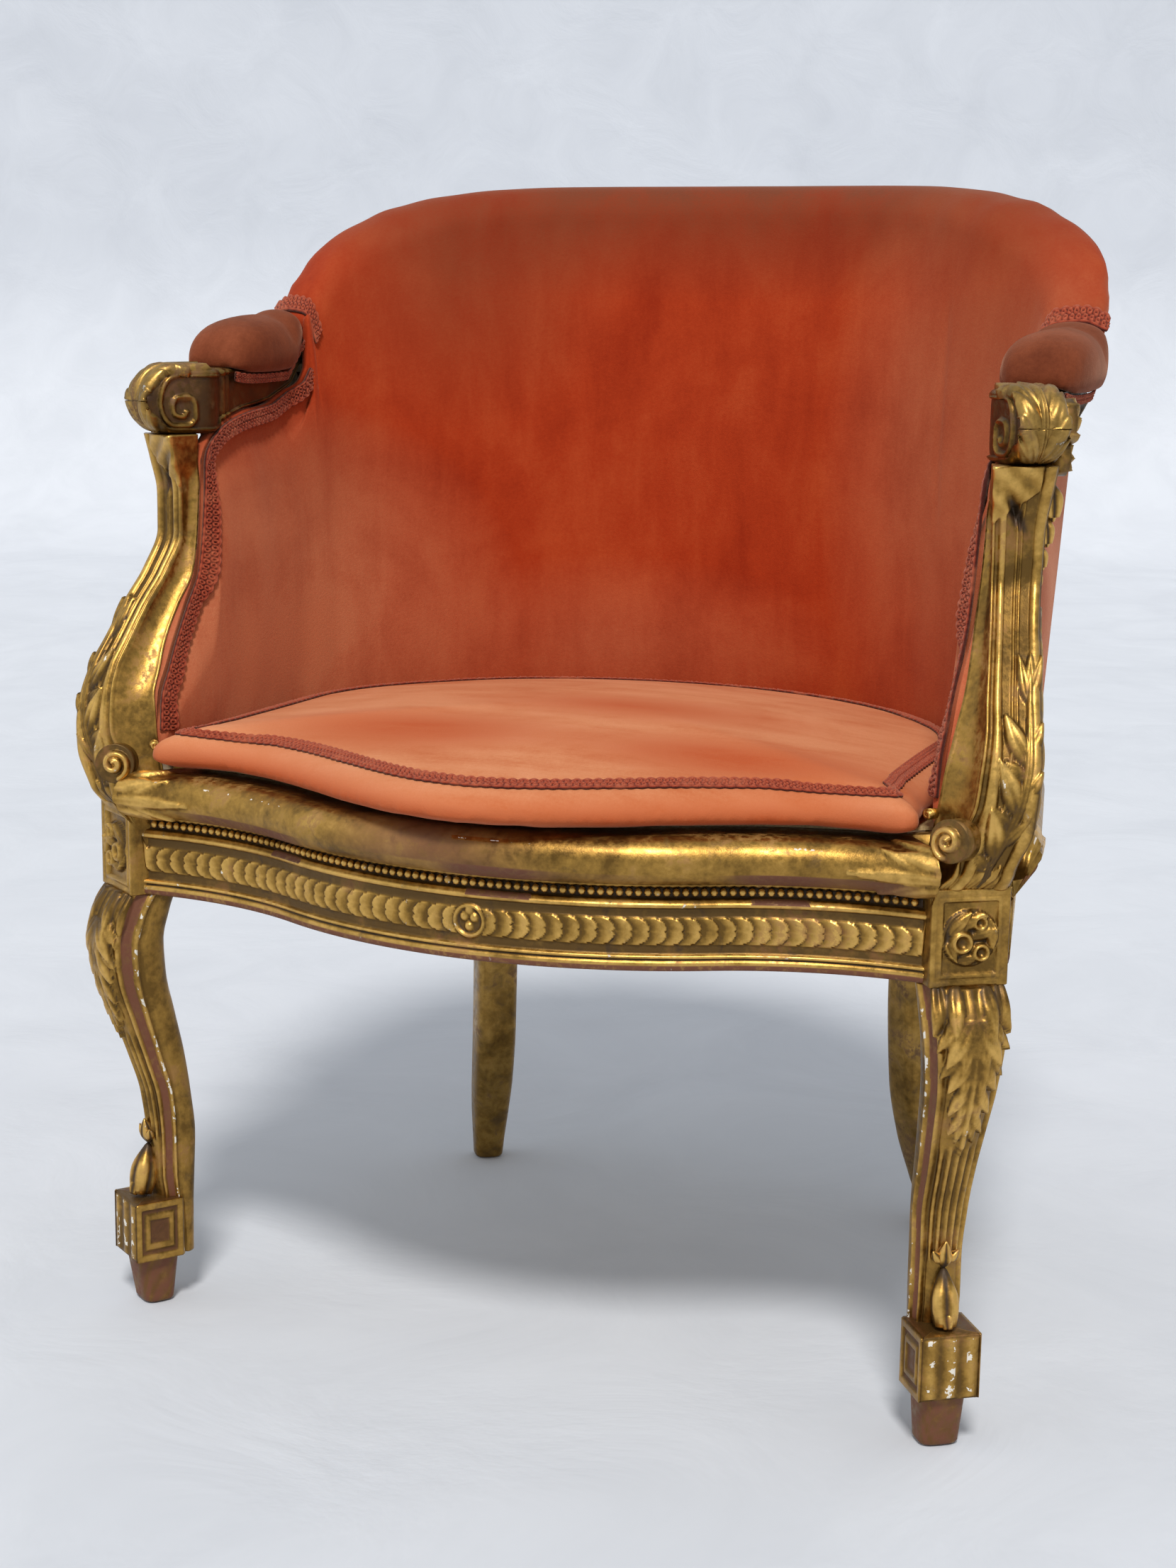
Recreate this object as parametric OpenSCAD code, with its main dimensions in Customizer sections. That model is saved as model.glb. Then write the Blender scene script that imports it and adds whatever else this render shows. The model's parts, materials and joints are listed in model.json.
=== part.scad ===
// Low tub armchair with a carved gilt frame, a padded velvet back, padded arms and a loose squab.
// Millimetres, Z up, the front faces -Y. The origin is on the floor under the middle of the chair.

/* [Seat frame] */
// Half width over the sides of the back, where they stand on the side rails
tub_r = 305; // [285:1:325]
// Radius of the rounded rear corners of the back
corner_r = 261; // [240:1:275]
// Angle that each rear corner turns through before the flatter rear curve, where the back legs stand
corner_a = 56.3; // [50:0.1:62]
// Angle by which the side rails close in towards the back
side_a = 11; // [6:0.5:14]
// Radius of the rounded rear corners of the seat rails
rail_r = 183; // [160:1:200]
// Thickness of the seat rails
rail_t = 34; // [28:1:40]
// Height of the underside of the seat rails above the floor
seat_z = 300; // [270:1:330]
// Height of the seat rails
rail_h = 85; // [80:1:95]
// How far the rounded top moulding stands out from the frieze
torus_out = 16; // [10:1:20]
// Height of the rounded top moulding
torus_h = 30; // [24:1:32]
// Depth of the sunk frieze
frieze_sink = 2.5; // [1:0.5:4]
// Distance from the tub's centre forward to the middle of the front rail
front_reach = 241; // [225:1:260]
// Radius of the bow in the middle of the front rail
bow_r = 300; // [280:1:330]
// Half angle of the bow
bow_a = 28.6; // [26:0.1:31]
// Radius of the hollow flanks beside the bow
flank_r = 232.7; // [215:0.1:250]
// Length of the rail tenons
tenon_l = 22; // [16:1:26]
// Thickness of the rail tenons
tenon_t = 12; // [8:1:14]
// Height of the rail tenons
tenon_h = 36; // [28:1:40]

/* [Front legs] */
// Angle that each front leg is turned outwards
cant = 35.3; // [30:0.1:40]
// Width and depth of the corner block at the top of the leg
block_w = 50; // [46:1:54]
// Height of the corner block
block_h = 60; // [56:1:64]
// Height of the square foot block's underside above the floor
foot_z = 34; // [28:1:40]
// Height of the square foot block
foot_h = 44; // [36:1:48]
// Half width of the square foot block
foot_w = 20; // [17:1:22]
// Half width of the tapered peg under the foot
peg_w = 13; // [10:1:15]

/* [Back legs] */
// Depth of the back legs at the seat
back_leg_d = 43; // [38:1:46]
// Width of the back legs at the seat
back_leg_w = 34; // [30:1:38]
// How far the back feet kick out behind the line of the leg
back_kick = 18; // [8:1:26]
// Width of the stiles that rise inside the back
stile_w = 30; // [24:1:34]

/* [Back] */
// Height of the top of the back
crest_z = 788.6; // [740:0.1:840]
// How far the top line falls from the crest to the front of each wing
wing_drop = 103; // [80:1:120]
// Length along the back over which most of that fall happens
wing_run = 64; // [55:0.5:90]
// Backward lean of the back at its top
back_lean = 8; // [0:1:16]
// Extra outward flare of the wings at their top
wing_flare = 25; // [8:1:30]
// Thickness of the padding over the crest rail
crest_pad = 12; // [8:1:16]
// Height of the crest rail
crest_h = 28; // [22:1:32]
// Thickness of the crest rail
crest_t = 23; // [18:1:24]

/* [Arms] */
// Radius of the scroll at the front of each arm
scroll_r = 22.5; // [19:0.5:24]
// Width of the arm scrolls
scroll_w = 35; // [32:1:38]
// Width of the arm rail under the pad
arm_w = 34; // [28:1:36]
// Height of the arm pads above the arm rail
pad_h = 34; // [28:1:44]
// Half width of the arm pads
pad_w = 30; // [24:1:34]
// Length of the arm pads
pad_l = 112; // [100:1:118]

/* [Seat] */
// Thickness of the squab's boxed edge
squab_edge = 19; // [14:1:26]
// Height of the squab's crown above its boxed edge
squab_crown = 24; // [14:1:45]
// How far the squab's front stands out over the front rail's frieze
squab_over = 30; // [20:1:34]
// Width of the braid trimming
gimp_w = 13; // [9:1:15]
// Thickness of the braid trimming
gimp_t = 2.6; // [1.6:0.2:3.4]
// Thickness of the woven cane panel
cane_t = 2; // [1.4:0.2:3]

/* [Hidden] */
$fn = 64;
clear = 0.3;
fit = 0.15;
gilt = "#b98f3c";
bole = "#7c4326";
beech = "#a98558";
velvet = "#bf5a2e";
velvet_pale = "#d98a5e";
braid = "#b0512f";
hessian = "#b59a6a";
straw = "#d9bd84";

// Plan of the back: straight sides, two rounded corners and a flatter rear curve. The side rails bend
// to a smaller radius, so that they run in from the corner blocks and meet it at the back legs.
corner_x = tub_r - corner_r;
rear_r = corner_r + corner_x / cos(corner_a);
rear_y = -corner_x * tan(corner_a);
corner_len = corner_r * corner_a * PI / 180;
half_len = corner_len + rear_r * (90 - corner_a) * PI / 180;
rail_c = [corner_x, 0] + (corner_r - rail_r) * [cos(corner_a), sin(corner_a)];
rail_top = seat_z + rail_h;

// Corner blocks of the front legs, measured from the tub's centre.
block_in = 23;
block_back = 91.4;
block_x = tub_r - block_in;
block_y = block_back - front_reach;
block_half = block_w / 2;
block_top = seat_z + block_h;
flank_x = (bow_r + flank_r) * sin(bow_a);
flank_y = bow_r - front_reach - (bow_r + flank_r) * cos(bow_a);

// Layers of the back, as distances out from the line of the seat rails' outer face.
cover_out = -13;
cover_in = -16;
frame_out = -16.4;
frame_in = -33;
web_t = 1.6;
crest_off = -10;
arm_off = -18;
side_rim = -33;

// Wing and arm stations, as distances along the seat's outer line from the start of the rear corner.
wing_s = 76;
flare_s = 115;
flare_run = 60;
arm_s = -85;

// Depth of the whole chair runs from the squab's front to the rear rail's moulding.
squab_front = front_reach + squab_over;
rear_reach = rear_r + rear_y + torus_out;
tub_y = (squab_front - rear_reach) / 2;

squab_z = rail_top + cane_t + clear + 0.5;
gimp_gap = 0.3;

// Plan point at distance s along the seat's outer line, moved out by off.
function tub_angle(s) = s < corner_len ? s / corner_r * 180 / PI
    : corner_a + (s - corner_len) / rear_r * 180 / PI;
function tub_pt(s, off) = s < 0 ? [tub_r + off, s]
    : let (a = tub_angle(s))
        s <= corner_len ? [corner_x + (corner_r + off) * cos(a), (corner_r + off) * sin(a)]
        : [(rear_r + off) * cos(a), rear_y + (rear_r + off) * sin(a)];

// Top line of the back, its lean and a point on one of its layers.
function crest_top(s) = crest_z - wing_drop * exp(-pow(max(0, s - wing_s) / wing_run, 1.08));
function top_lean(s) = back_lean + wing_flare * exp(-pow((s - flare_s) / flare_run, 2));
function lean(s, z) = top_lean(s) * max(0, (z - rail_top) / (crest_z - rail_top));
function back_pt(s, off, z) = let (p = tub_pt(s, off + lean(s, z))) [p[0], p[1], z];

// Plan point in a corner block's own frame: n out of its carved face, s along it.
function block_pt(n, s) = [block_x + n * sin(cant) + s * cos(cant), block_y - n * cos(cant) + s * sin(cant)];

function mix(a, b, t) = a + (b - a) * t;
function mirrored(ring) = [for (p = ring) [-p[0], p[1], p[2]]];
function spread(a, b, n) = [for (i = [0:n]) mix(a, b, i / n)];

// Six times the volume inside a set of triangles, with its sign.
function signed(pts, faces) = let (v = [for (f = faces) pts[f[0]] * cross(pts[f[1]], pts[f[2]])])
    v * [for (x = v) 1];

// Closed solid through rings of points.
module skin(rings, closed = false) {
    n = len(rings[0]);
    m = len(rings);
    last = closed ? m - 1 : m - 2;
    pts = [for (r = rings) each r];
    walls = [for (i = [0:last], j = [0:n - 1])
        let (a = i * n + j, b = i * n + (j + 1) % n, c = ((i + 1) % m) * n + j, d = ((i + 1) % m) * n + (j + 1) % n)
        each [[a, b, d], [a, d, c]]];
    start = [for (j = [1:n - 2]) [0, j + 1, j]];
    end = [for (j = [1:n - 2]) [(m - 1) * n, (m - 1) * n + j, (m - 1) * n + j + 1]];
    faces = closed ? walls : concat(walls, start, end);
    polyhedron(pts, signed(pts, faces) > 0 ? [for (f = faces) [f[0], f[2], f[1]]] : faces, convexity = 8);
}

// Stations along the back that all its layers share, so that their facets stay parallel.
arm_ss = [-60, -26, 0, 15, 28, 40, 56, 68];
wing_ss = [73.4, wing_s + 0.7];
back_ss = concat([for (i = [0:12]) mix(84, corner_len, i / 12)], [for (i = [1:7]) mix(corner_len, half_len, i / 7)]);

// Rings round the whole back: the right half, then the left half in reverse.
function round_back(stations, sections) =
    let (right = [for (i = [0:len(stations) - 1]) [for (p = sections[i]) back_pt(stations[i], p[0], p[1])]])
    concat(right, [for (i = [len(right) - 2:-1:0]) mirrored(right[i])]);

// Section of a rail, set at a radius, with its rounded top moulding.
torus_z = rail_top - torus_h / 2;
torus_c = torus_out - torus_h / 2;
rail_outline = [
    [-rail_t, seat_z], [0, seat_z], [0, seat_z + 9], [-frieze_sink, seat_z + 10],
    [-frieze_sink, seat_z + 39], [0, seat_z + 40], [1, seat_z + 44], [-2, seat_z + 45],
    [-2, seat_z + 47], [-6, seat_z + 48]
];
module rail_section(r) {
    translate([r, 0]) polygon(concat(rail_outline, [[-6, torus_z], [torus_c, torus_z], [torus_c, rail_top],
        [-rail_t, rail_top]]));
    translate([r + torus_c, torus_z]) circle(torus_h / 2);
}

// Plan point on the front rail at a share of its half length: a bow, then a hollow flank.
flank_a = 90 + bow_a;
bow_steps = 7;
flank_steps = 8;
function front_pt(k, off) = k <= bow_steps
    ? let (a = bow_a * k / bow_steps) [(bow_r + off) * sin(a), bow_r - front_reach - (bow_r + off) * cos(a)]
    : let (a = mix(flank_a, 66, (k - bow_steps) / flank_steps))
        [flank_x + (flank_r - off) * cos(a), flank_y + (flank_r - off) * sin(a)];

module at_block() {
    translate([block_x, block_y, 0]) rotate(cant - 90) children();
}

// A box in a corner block's frame, from its lowest to its highest corner: n, s, z.
module block_box(low, high) {
    at_block() translate([low[0], low[1], low[2]]) cube([high[0] - low[0], high[1] - low[1], high[2] - low[2]]);
}

// A box in the frame of a back leg, whose middle is where the rear corner ends.
module leg_box(out_low, out_high, side, z_low, z_high) {
    a = corner_a;
    translate([corner_x, 0, 0]) rotate(a) translate([corner_r + out_low, -side, z_low])
        cube([out_high - out_low, 2 * side, z_high - z_low]);
}

tenon_z = seat_z + 8;
front_tenon_n = -4;
side_tenon_s = 14;
far = 400;

module front_tenon(extra) {
    n = tenon_t / 2 + extra;
    block_box([front_tenon_n - n, -block_half - 6, tenon_z - extra],
        [front_tenon_n + n, -block_half + tenon_l + 2 * extra, tenon_z + tenon_h + extra]);
}

module side_tenon(extra) {
    s = tenon_t / 2 + extra;
    block_box([-block_half - 1, side_tenon_s - s, tenon_z - extra],
        [-block_half + tenon_l + 2 * extra, side_tenon_s + s, tenon_z + tenon_h + extra]);
}

// Tenons of the side and rear rails into a back leg, one from each side.
back_tenon_off = -20;
module back_tenon(way, extra) {
    reach = back_leg_w / 2;
    low = way > 0 ? reach - 14 - 2 * extra : -reach - 6;
    high = way > 0 ? reach + 6 : -reach + 14 + 2 * extra;
    t = tenon_t / 2 + extra;
    translate([corner_x, 0, 0]) rotate(corner_a)
        translate([corner_r + back_tenon_off - t, low, tenon_z - extra])
        cube([2 * t, high - low, tenon_h + 2 * extra]);
}

front_profile = concat(rail_outline, [for (k = [0:8]) let (a = mix(-118, 90, k / 8))
    [torus_c + torus_h / 2 * cos(a), torus_z + torus_h / 2 * sin(a)]], [[-rail_t, rail_top]]);
front_half = [for (k = [0:bow_steps + flank_steps]) [for (p = front_profile)
    let (q = front_pt(k, p[0])) [q[0], q[1], p[1]]]];

module front_rail() color(gilt) {
    difference() {
        skin(concat([for (k = [len(front_half) - 1:-1:1]) mirrored(front_half[k])], front_half));
        for (m = [0, 1]) mirror([m, 0, 0]) {
            block_box([-far, -block_half, 0], [far, far, far + rail_top]);
            front_peg(0.05);
        }
    }
    for (m = [0, 1]) mirror([m, 0, 0]) difference() {
        front_tenon(0);
        front_peg(0.05);
    }
}

module right_side_rail() color(gilt) {
    difference() {
        union() {
            translate(rail_c) rotate(side_a) translate([0, 0.01, 0]) rotate([90, 0, 0])
                linear_extrude(far) rail_section(rail_r);
            translate(rail_c) rotate(side_a) rotate_extrude(angle = corner_a - side_a, $fn = 128)
                rail_section(rail_r);
        }
        block_box([-block_half, -far, 0], [far, block_half, rail_top + 1]);
        block_box([-block_half, -far, block_top], [far, block_half + 12, rail_top + 1]);
        block_box([-17, -far, 0], [far, far, rail_top + 1]);
        leg_box(-rail_t - 20, torus_out + 10, back_leg_w / 2, 0, rail_top + 1);
        side_peg(0.05);
        back_peg(-1, 0.05);
    }
    difference() {
        side_tenon(0);
        side_peg(0.05);
    }
    difference() {
        back_tenon(-1, 0);
        back_peg(-1, 0.05);
    }
}

// Point on the inner part of the side rail's plan, forward of its rear corner for a negative turn.
function rail_pt(k, off) = k < 0
    ? rail_c + (rail_r + off) * [cos(side_a), sin(side_a)] + k * [-sin(side_a), cos(side_a)]
    : let (a = min(corner_a, side_a + k)) rail_c + (rail_r + off) * [cos(a), sin(a)];

module left_side_rail() mirror([1, 0, 0]) right_side_rail();

module back_rail() color(gilt) {
    difference() {
        translate([0, rear_y, 0]) rotate(corner_a) rotate_extrude(angle = 180 - 2 * corner_a, $fn = 128)
            rail_section(rear_r);
        for (m = [0, 1]) mirror([m, 0, 0]) {
            leg_box(-rail_t - 20, torus_out + 10, back_leg_w / 2, 0, rail_top + 1);
            back_peg(1, 0.05);
        }
    }
    for (m = [0, 1]) mirror([m, 0, 0]) difference() {
        back_tenon(1, 0);
        back_peg(1, 0.05);
    }
}

// Wooden pegs that pin the tenons, driven in from inside the frame.
peg_r = 3;
peg_zs = [tenon_z + 9, tenon_z + 27];
module front_peg(extra) {
    for (z = peg_zs) at_block() translate([-block_half, -block_half + 12, z]) rotate([0, 90, 0])
        cylinder(r = peg_r + extra, h = block_half + 8);
}
module side_peg(extra) {
    for (z = peg_zs) at_block() translate([-block_half + 12, side_tenon_s - 10, z + 6]) rotate([-90, 0, 0])
        cylinder(r = peg_r + extra, h = 20);
}
module back_peg(way, extra) {
    for (z = peg_zs) translate([corner_x, 0, 0]) rotate(corner_a)
        translate([corner_r - back_leg_d, way * (back_leg_w / 2 - 7), z]) rotate([0, 90, 0])
        cylinder(r = peg_r + extra, h = back_leg_d - 10);
}

module joint_pegs() color(bole) {
    for (m = [0, 1]) mirror([m, 0, 0]) {
        front_peg(0);
        side_peg(0);
        back_peg(1, 0);
        back_peg(-1, 0);
    }
}

// Cabriole front leg: height, back line, front line and half width, in the block's frame.
leg_stations = [
    [0.113, -25, -2, 14], [0.22, -26.4, 0, 14.2], [0.317, -26.6, 5, 14.7], [0.4, -27.6, 4.2, 14.5],
    [0.5, -24.4, 7.4, 15.9], [0.6, -19.9, 16.5, 16.8], [0.7, -13.2, 27.4, 18.7], [0.8, -6.7, 37.5, 21.1],
    [0.883, -5, 41.2, 23.4], [0.95, -9.3, 37.1, 24.6], [1, -14.8, 28.2, 24.9]
];
function leg_at(h, k) = lookup(h, [for (st = leg_stations) [st[0], st[k]]]);
// Section of the leg with rounded corners, a fluted front and a flat back.
function leg_ring(h) = let (back = leg_at(h, 1), front = leg_at(h, 2), w = leg_at(h, 3), z = h * seat_z)
    [for (q = [[back, -w * 0.62], [front * 0.35 + back * 0.65, -w], [mix(back, front, 0.78), -w],
        [front - 2, -w * 0.72], [front - 3, -w * 0.4], [front, 0], [front - 3, w * 0.4], [front - 2, w * 0.72],
        [mix(back, front, 0.78), w], [front * 0.35 + back * 0.65, w], [back, w * 0.62]])
        let (p = block_pt(q[0], q[1])) [p[0], p[1], z]];

module key_panel(side) {
    y = side * foot_w;
    for (k = [0, 1, 2]) {
        inset = 3.5 + 4.2 * k;
        rise = [1.2, 0, 1.6][k];
        if (rise > 0) translate([inset - 7, side > 0 ? y - 1 : y - rise, foot_z + inset + 1])
            cube([31 - 2 * inset + 2, rise + 1, foot_h - 2 * inset - 2]);
    }
}

module right_front_leg() color(gilt) difference() {
    union() {
        skin([for (h = spread(leg_stations[0][0], 1, 26)) leg_ring(h)]);
        block_box([-block_half, -block_half, seat_z - 0.01], [block_half, block_half, block_top]);
        block_box([-block_half, -block_half, block_top - 0.01], [-15.6, block_half, rail_top]);
        block_box([-12, -foot_w, foot_z], [24.5, foot_w, foot_z + foot_h]);
        at_block() {
            key_panel(1);
            key_panel(-1);
            hull() {
                translate([-8, -peg_w, 0]) cube([22, 2 * peg_w, 1]);
                translate([-12, -peg_w - 2, foot_z]) cube([32, 2 * peg_w + 4, 2]);
            }
            translate([block_half, 0, seat_z + block_h / 2]) rotate([0, 90, 0]) {
                cylinder(r = 17.5, h = 2);
                cylinder(r = 6, h = 6);
                for (k = [0:5]) rotate(60 * k) translate([11, 0, 1]) cylinder(r = 5.2, h = 3.4);
            }
        }
    }
    front_tenon(fit);
    side_tenon(fit);
    front_peg(0.05);
    side_peg(0.05);
    support_dowel(fit);
    front_screws(0.1);
}
module left_front_leg() mirror([1, 0, 0]) right_front_leg();

// Round tenon of the arm support, which stands in the top of the corner block.
module support_dowel(extra) {
    at_block() translate([6, 2, block_top - 12 - extra]) cylinder(r = 7 + extra, h = 20);
}

// Back leg: share of the seat height, inner face, outer face and half width.
back_stations = [
    [0, -24, -2, 11.5], [0.05, -25, -1, 12.5], [0.14, -31, 1, 14.5], [0.25, -39, -3, 16],
    [0.4, -45, -6, 16.5], [0.6, -46, -6, 16.5], [0.8, -44, -3, 16.7], [1, -43, 0, 17]
];
function back_leg_at(h, k) = lookup(h, [for (st = back_stations) [st[0], st[k]]]);
function radial_pt(out, side, z) = [
    corner_x + (corner_r + out) * cos(corner_a) - side * sin(corner_a),
    (corner_r + out) * sin(corner_a) + side * cos(corner_a), z
];
function back_leg_ring(h) = let (kick = back_kick * pow(1 - h, 3), i = back_leg_at(h, 1) + kick,
    o = back_leg_at(h, 2) + kick, w = back_leg_at(h, 3) * back_leg_w / 34, c = 3.5)
    [for (q = [[i + c, -w], [o - c, -w], [o, -w + c], [o, w - c], [o - c, w], [i + c, w], [i, w - c], [i, -w + c]])
        radial_pt(q[0], q[1], h * seat_z)];
function stile_ring(z) = let (h = stile_w / 2)
    [back_pt(corner_len - h, frame_in, z), back_pt(corner_len - h, frame_out - 0.6, z),
        back_pt(corner_len + h, frame_out - 0.6, z), back_pt(corner_len + h, frame_in, z)];
stile_top = crest_top(corner_len - stile_w / 2) - crest_pad - crest_h - 1;

module stile_tenon(extra) {
    z = stile_top - 6;
    p = back_pt(corner_len, -21, z);
    translate([p[0], p[1], z]) rotate(corner_a)
        translate([-4 - extra, -8 - extra, 0]) cube([8 + 2 * extra, 16 + 2 * extra, 20 + extra]);
}

module right_back_leg() color(gilt) difference() {
    union() {
        skin([for (h = spread(0, 1, 16)) back_leg_ring(h)]);
        leg_box(-back_leg_d, 0, back_leg_w / 2, seat_z - 0.01, rail_top);
        skin([for (z = spread(rail_top - 6, stile_top, 8)) stile_ring(z)]);
        stile_tenon(0);
    }
    back_tenon(1, fit);
    back_tenon(-1, fit);
    back_peg(1, 0.05);
    back_peg(-1, 0.05);
    rear_screws(0.1);
}
module left_back_leg() mirror([1, 0, 0]) right_back_leg();

// Arm support, in the block's frame, by height over the block: the rear inner edge where the braid runs,
// the front inner ridge, the front outer edge, then the depth. Edges are n then s.
post_table = [
    [0, -10, -18, 22, -21, 25, 24, 36], [10, -7, -18, 24, -12, 33, 24, 40], [35, -4, -15, 21.6, -5, 39.3, 32, 42],
    [50, -2.9, -12.7, 25.6, -0.9, 38.6, 33.9, 42], [72, -3.2, -8.7, 23.4, 3, 32.9, 38, 42],
    [91, -11.1, -0.7, 17.7, 7, 23.4, 41, 40], [108, -18.1, 6.7, 7, 11, 10.9, 45, 38],
    [132, -32.2, 16.2, -9.6, 17.8, -6.3, 51, 36], [153, -46.2, 24.1, -27, 25, -23, 56.7, 36],
    [180, -51.4, 28.9, -40.7, 30.1, -37, 63, 36], [206, -54.3, 31.7, -40.5, 29.5, -37.5, 64, 37],
    [230, -56, 33.3, -35, 26.5, -33.5, 66.5, 38], [246, -56.8, 34.1, -31.2, 24.5, -29.9, 67.8, 38]
];
post_top = post_table[len(post_table) - 1][0] + block_top;
function post_at(z, k) = lookup(z - block_top, [for (st = post_table) [st[0], st[k]]]);
function post_pair(z, k) = [post_at(z, k), post_at(z, k + 1)];
// The rebate for the padding leaves the inner edge by this much, then turns back.
rebate = [8.4, 11.9];
rebate_back = [-6.5, 4.6];
function post_corner(z) = post_pair(z, 5) - [post_at(z, 7), 5];
function post_inner_back(z) = post_pair(z, 1) + rebate + rebate_back;
function post_edge(z) = let (p = post_pair(z, 1)) block_pt(p[0], p[1]);
function post_rear(z) = let (p = post_corner(z), q = post_inner_back(z))
    max(block_pt(p[0], p[1])[1], block_pt(q[0], q[1])[1]);

function post_ring(z) = let (a = post_pair(z, 1), b = post_pair(z, 3), c = post_pair(z, 5), d = post_corner(z))
    [for (q = [a, mix(a, b, 0.5) - [0, 1.2], b - [2, 1], b + [0, 3], mix(b, c, 0.3) - [3, 0], mix(b, c, 0.7) - [3, 0],
        c - [0, 4], c - [2, 0], [d[0] + 8, c[1] - 1], d, post_inner_back(z), a + rebate])
        let (p = block_pt(q[0], q[1])) [p[0], p[1], z]];

eye_n = 25;
eye_z = block_top + 30;
module right_arm_support() color(gilt) union() {
    skin([for (i = [0:2 * len(post_table) - 2])
        let (a = post_table[floor(i / 2)][0], b = post_table[ceil(i / 2)][0]) post_ring(block_top + (a + b) / 2)]);
    at_block() translate([eye_n, -20, eye_z]) rotate([-90, 0, 0]) cylinder(r = 15, h = 50);
    at_block() translate([eye_n, -22, eye_z]) rotate([-90, 0, 0]) cylinder(r = 6, h = 10);
    support_dowel(0);
    arm_dowel(0);
}
module left_arm_support() mirror([1, 0, 0]) right_arm_support();

scroll_n = -41;
scroll_s = 51;
scroll_z = post_top + scroll_r;
module arm_dowel(extra) {
    at_block() translate([scroll_n - 4, scroll_s, post_top - 14]) cylinder(r = 6 + extra, h = 30 + extra);
}

// Underside of the arm, by distance along the seat's outer line and rise over the support's top.
arm_end = crest_z - wing_drop - crest_pad - crest_h + 6 - post_top;
arm_line = [[arm_s, 0], [-26, 0.326 * arm_end], [15, 0.435 * arm_end], [52, 0.696 * arm_end], [69, arm_end],
    [wing_s, arm_end]];
function arm_under(s) = post_top + lookup(s, arm_line);
function arm_top(s) = lookup(s, [[arm_s, scroll_z + scroll_r - 6], [-60, post_top + 43], [-40, post_top + 44],
    [39, post_top + 46], [63, crest_top(wing_s) - crest_pad - 4], [wing_s, crest_top(wing_s) - crest_pad]]);
function arm_half(s) = lookup(s, [[arm_s, scroll_w / 2 - 2], [-60, 17], [-50, arm_w / 2], [50, arm_w / 2],
    [wing_s, crest_t / 2]]);
function arm_mid(s) = lookup(s, [[arm_s, arm_off + 3.5], [-60, arm_off], [50, arm_off],
    [wing_s, crest_off - crest_t / 2]]);
function arm_ring(s) = let (m = arm_mid(s), w = arm_half(s), b = arm_under(s), t = arm_top(s), c = 3)
    [for (q = [[m - w + c, b], [m + w - c, b], [m + w, b + c], [m + w, t - c], [m + w - c, t],
        [m - w + c, t], [m - w, t - c], [m - w, b + c]]) back_pt(s, q[0], q[1])];

module arm_tenon(extra) {
    skin([for (s = [wing_s - 8, wing_s + 16 + extra])
        let (m = crest_off - crest_t / 2 + 2, t = crest_top(wing_s) - crest_pad - 8, e = extra)
        [back_pt(s, m - 3 - e, t - 12 - e), back_pt(s, m + 3 + e, t - 12 - e),
            back_pt(s, m + 3 + e, t + e), back_pt(s, m - 3 - e, t + e)]]);
}

module right_arm() color(gilt) difference() {
    union() {
        skin([for (s = concat(spread(arm_s, -49, 5), [for (k = [0:pad_steps]) pad_at(k)], [wing_s])) arm_ring(s)]);
        at_block() translate([scroll_n, scroll_s - scroll_w / 2, scroll_z]) rotate([-90, 0, 0])
            cylinder(r = scroll_r, h = scroll_w);
        at_block() translate([scroll_n, scroll_s - scroll_w / 2 - 2, scroll_z - 6]) rotate([-90, 0, 0])
            cylinder(r = 9, h = scroll_w + 4);
        arm_tenon(0);
    }
    arm_dowel(fit);
}
module left_arm() mirror([1, 0, 0]) right_arm();

// Carved drop of leaf, rosette, flower and husks on the outer side of each support, by height from the
// support's top: height, n, radius and how far it stands out.
husk_rows = [[26, -46, 12, 8], [4, -50, 11, 7], [-19, -52, 10, 8], [-38, -50, 8, 5], [-54, -46, 6.5, 3.5],
    [-67, -44, 5, 3]];
function husk_s(h) = h > -12 ? 78 : h > -20 ? 68 : post_at(post_top + h, 6) + 0.5;
module right_husk_drop() color(gilt) {
    for (row = husk_rows) at_block() translate([row[1], husk_s(row[0]) + row[3] - 3, post_top + row[0]]) {
        rotate([-90, 0, 0]) cylinder(r = row[2], h = 3);
        translate([0, 3, 0]) sphere(min(row[2] * 0.72, row[3]), $fn = 24);
    }
    skin([for (row = husk_rows) let (s = husk_s(row[0]), n = row[1], d = s + row[3])
        [for (q = [[n - 4, s], [n + 4, s], [n + 4, d], [n - 4, d]])
            let (p = block_pt(q[0], q[1])) [p[0], p[1], post_top + row[0]]]]);
}
module left_husk_drop() mirror([1, 0, 0]) right_husk_drop();
// Crest rail: it carries on from the arms and runs round inside the top of the back.
function crest_section(s) = let (t = crest_top(s) - crest_pad, b = t - crest_h, o = crest_off,
    i = crest_off - crest_t)
    [[i + 2, b], [o - 2, b], [o, b + 2], [o, t - 2], [o - 2, t], [i + 2, t], [i, t - 2], [i, b + 2]];
crest_stations = concat([wing_s, wing_s + 0.7], back_ss);
module crest_rail() color(beech) difference() {
    skin(round_back(crest_stations, [for (s = crest_stations) crest_section(s)]));
    for (m = [0, 1]) mirror([m, 0, 0]) {
        arm_tenon(fit);
        stile_tenon(fit);
    }
}

// Lower back rail between the stiles.
low_rail_z = rail_top + 14;
low_rail_h = 26;
low_stations = concat([corner_len + stile_w / 2 + 0.2], [for (i = [1:7]) mix(corner_len, half_len, i / 7)]);
module lower_back_rail() color(beech)
    skin(round_back(low_stations, [for (s = low_stations)
        [[frame_in, low_rail_z], [frame_out - 1, low_rail_z], [frame_out - 1, low_rail_z + low_rail_h],
            [frame_in, low_rail_z + low_rail_h]]]));

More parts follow.
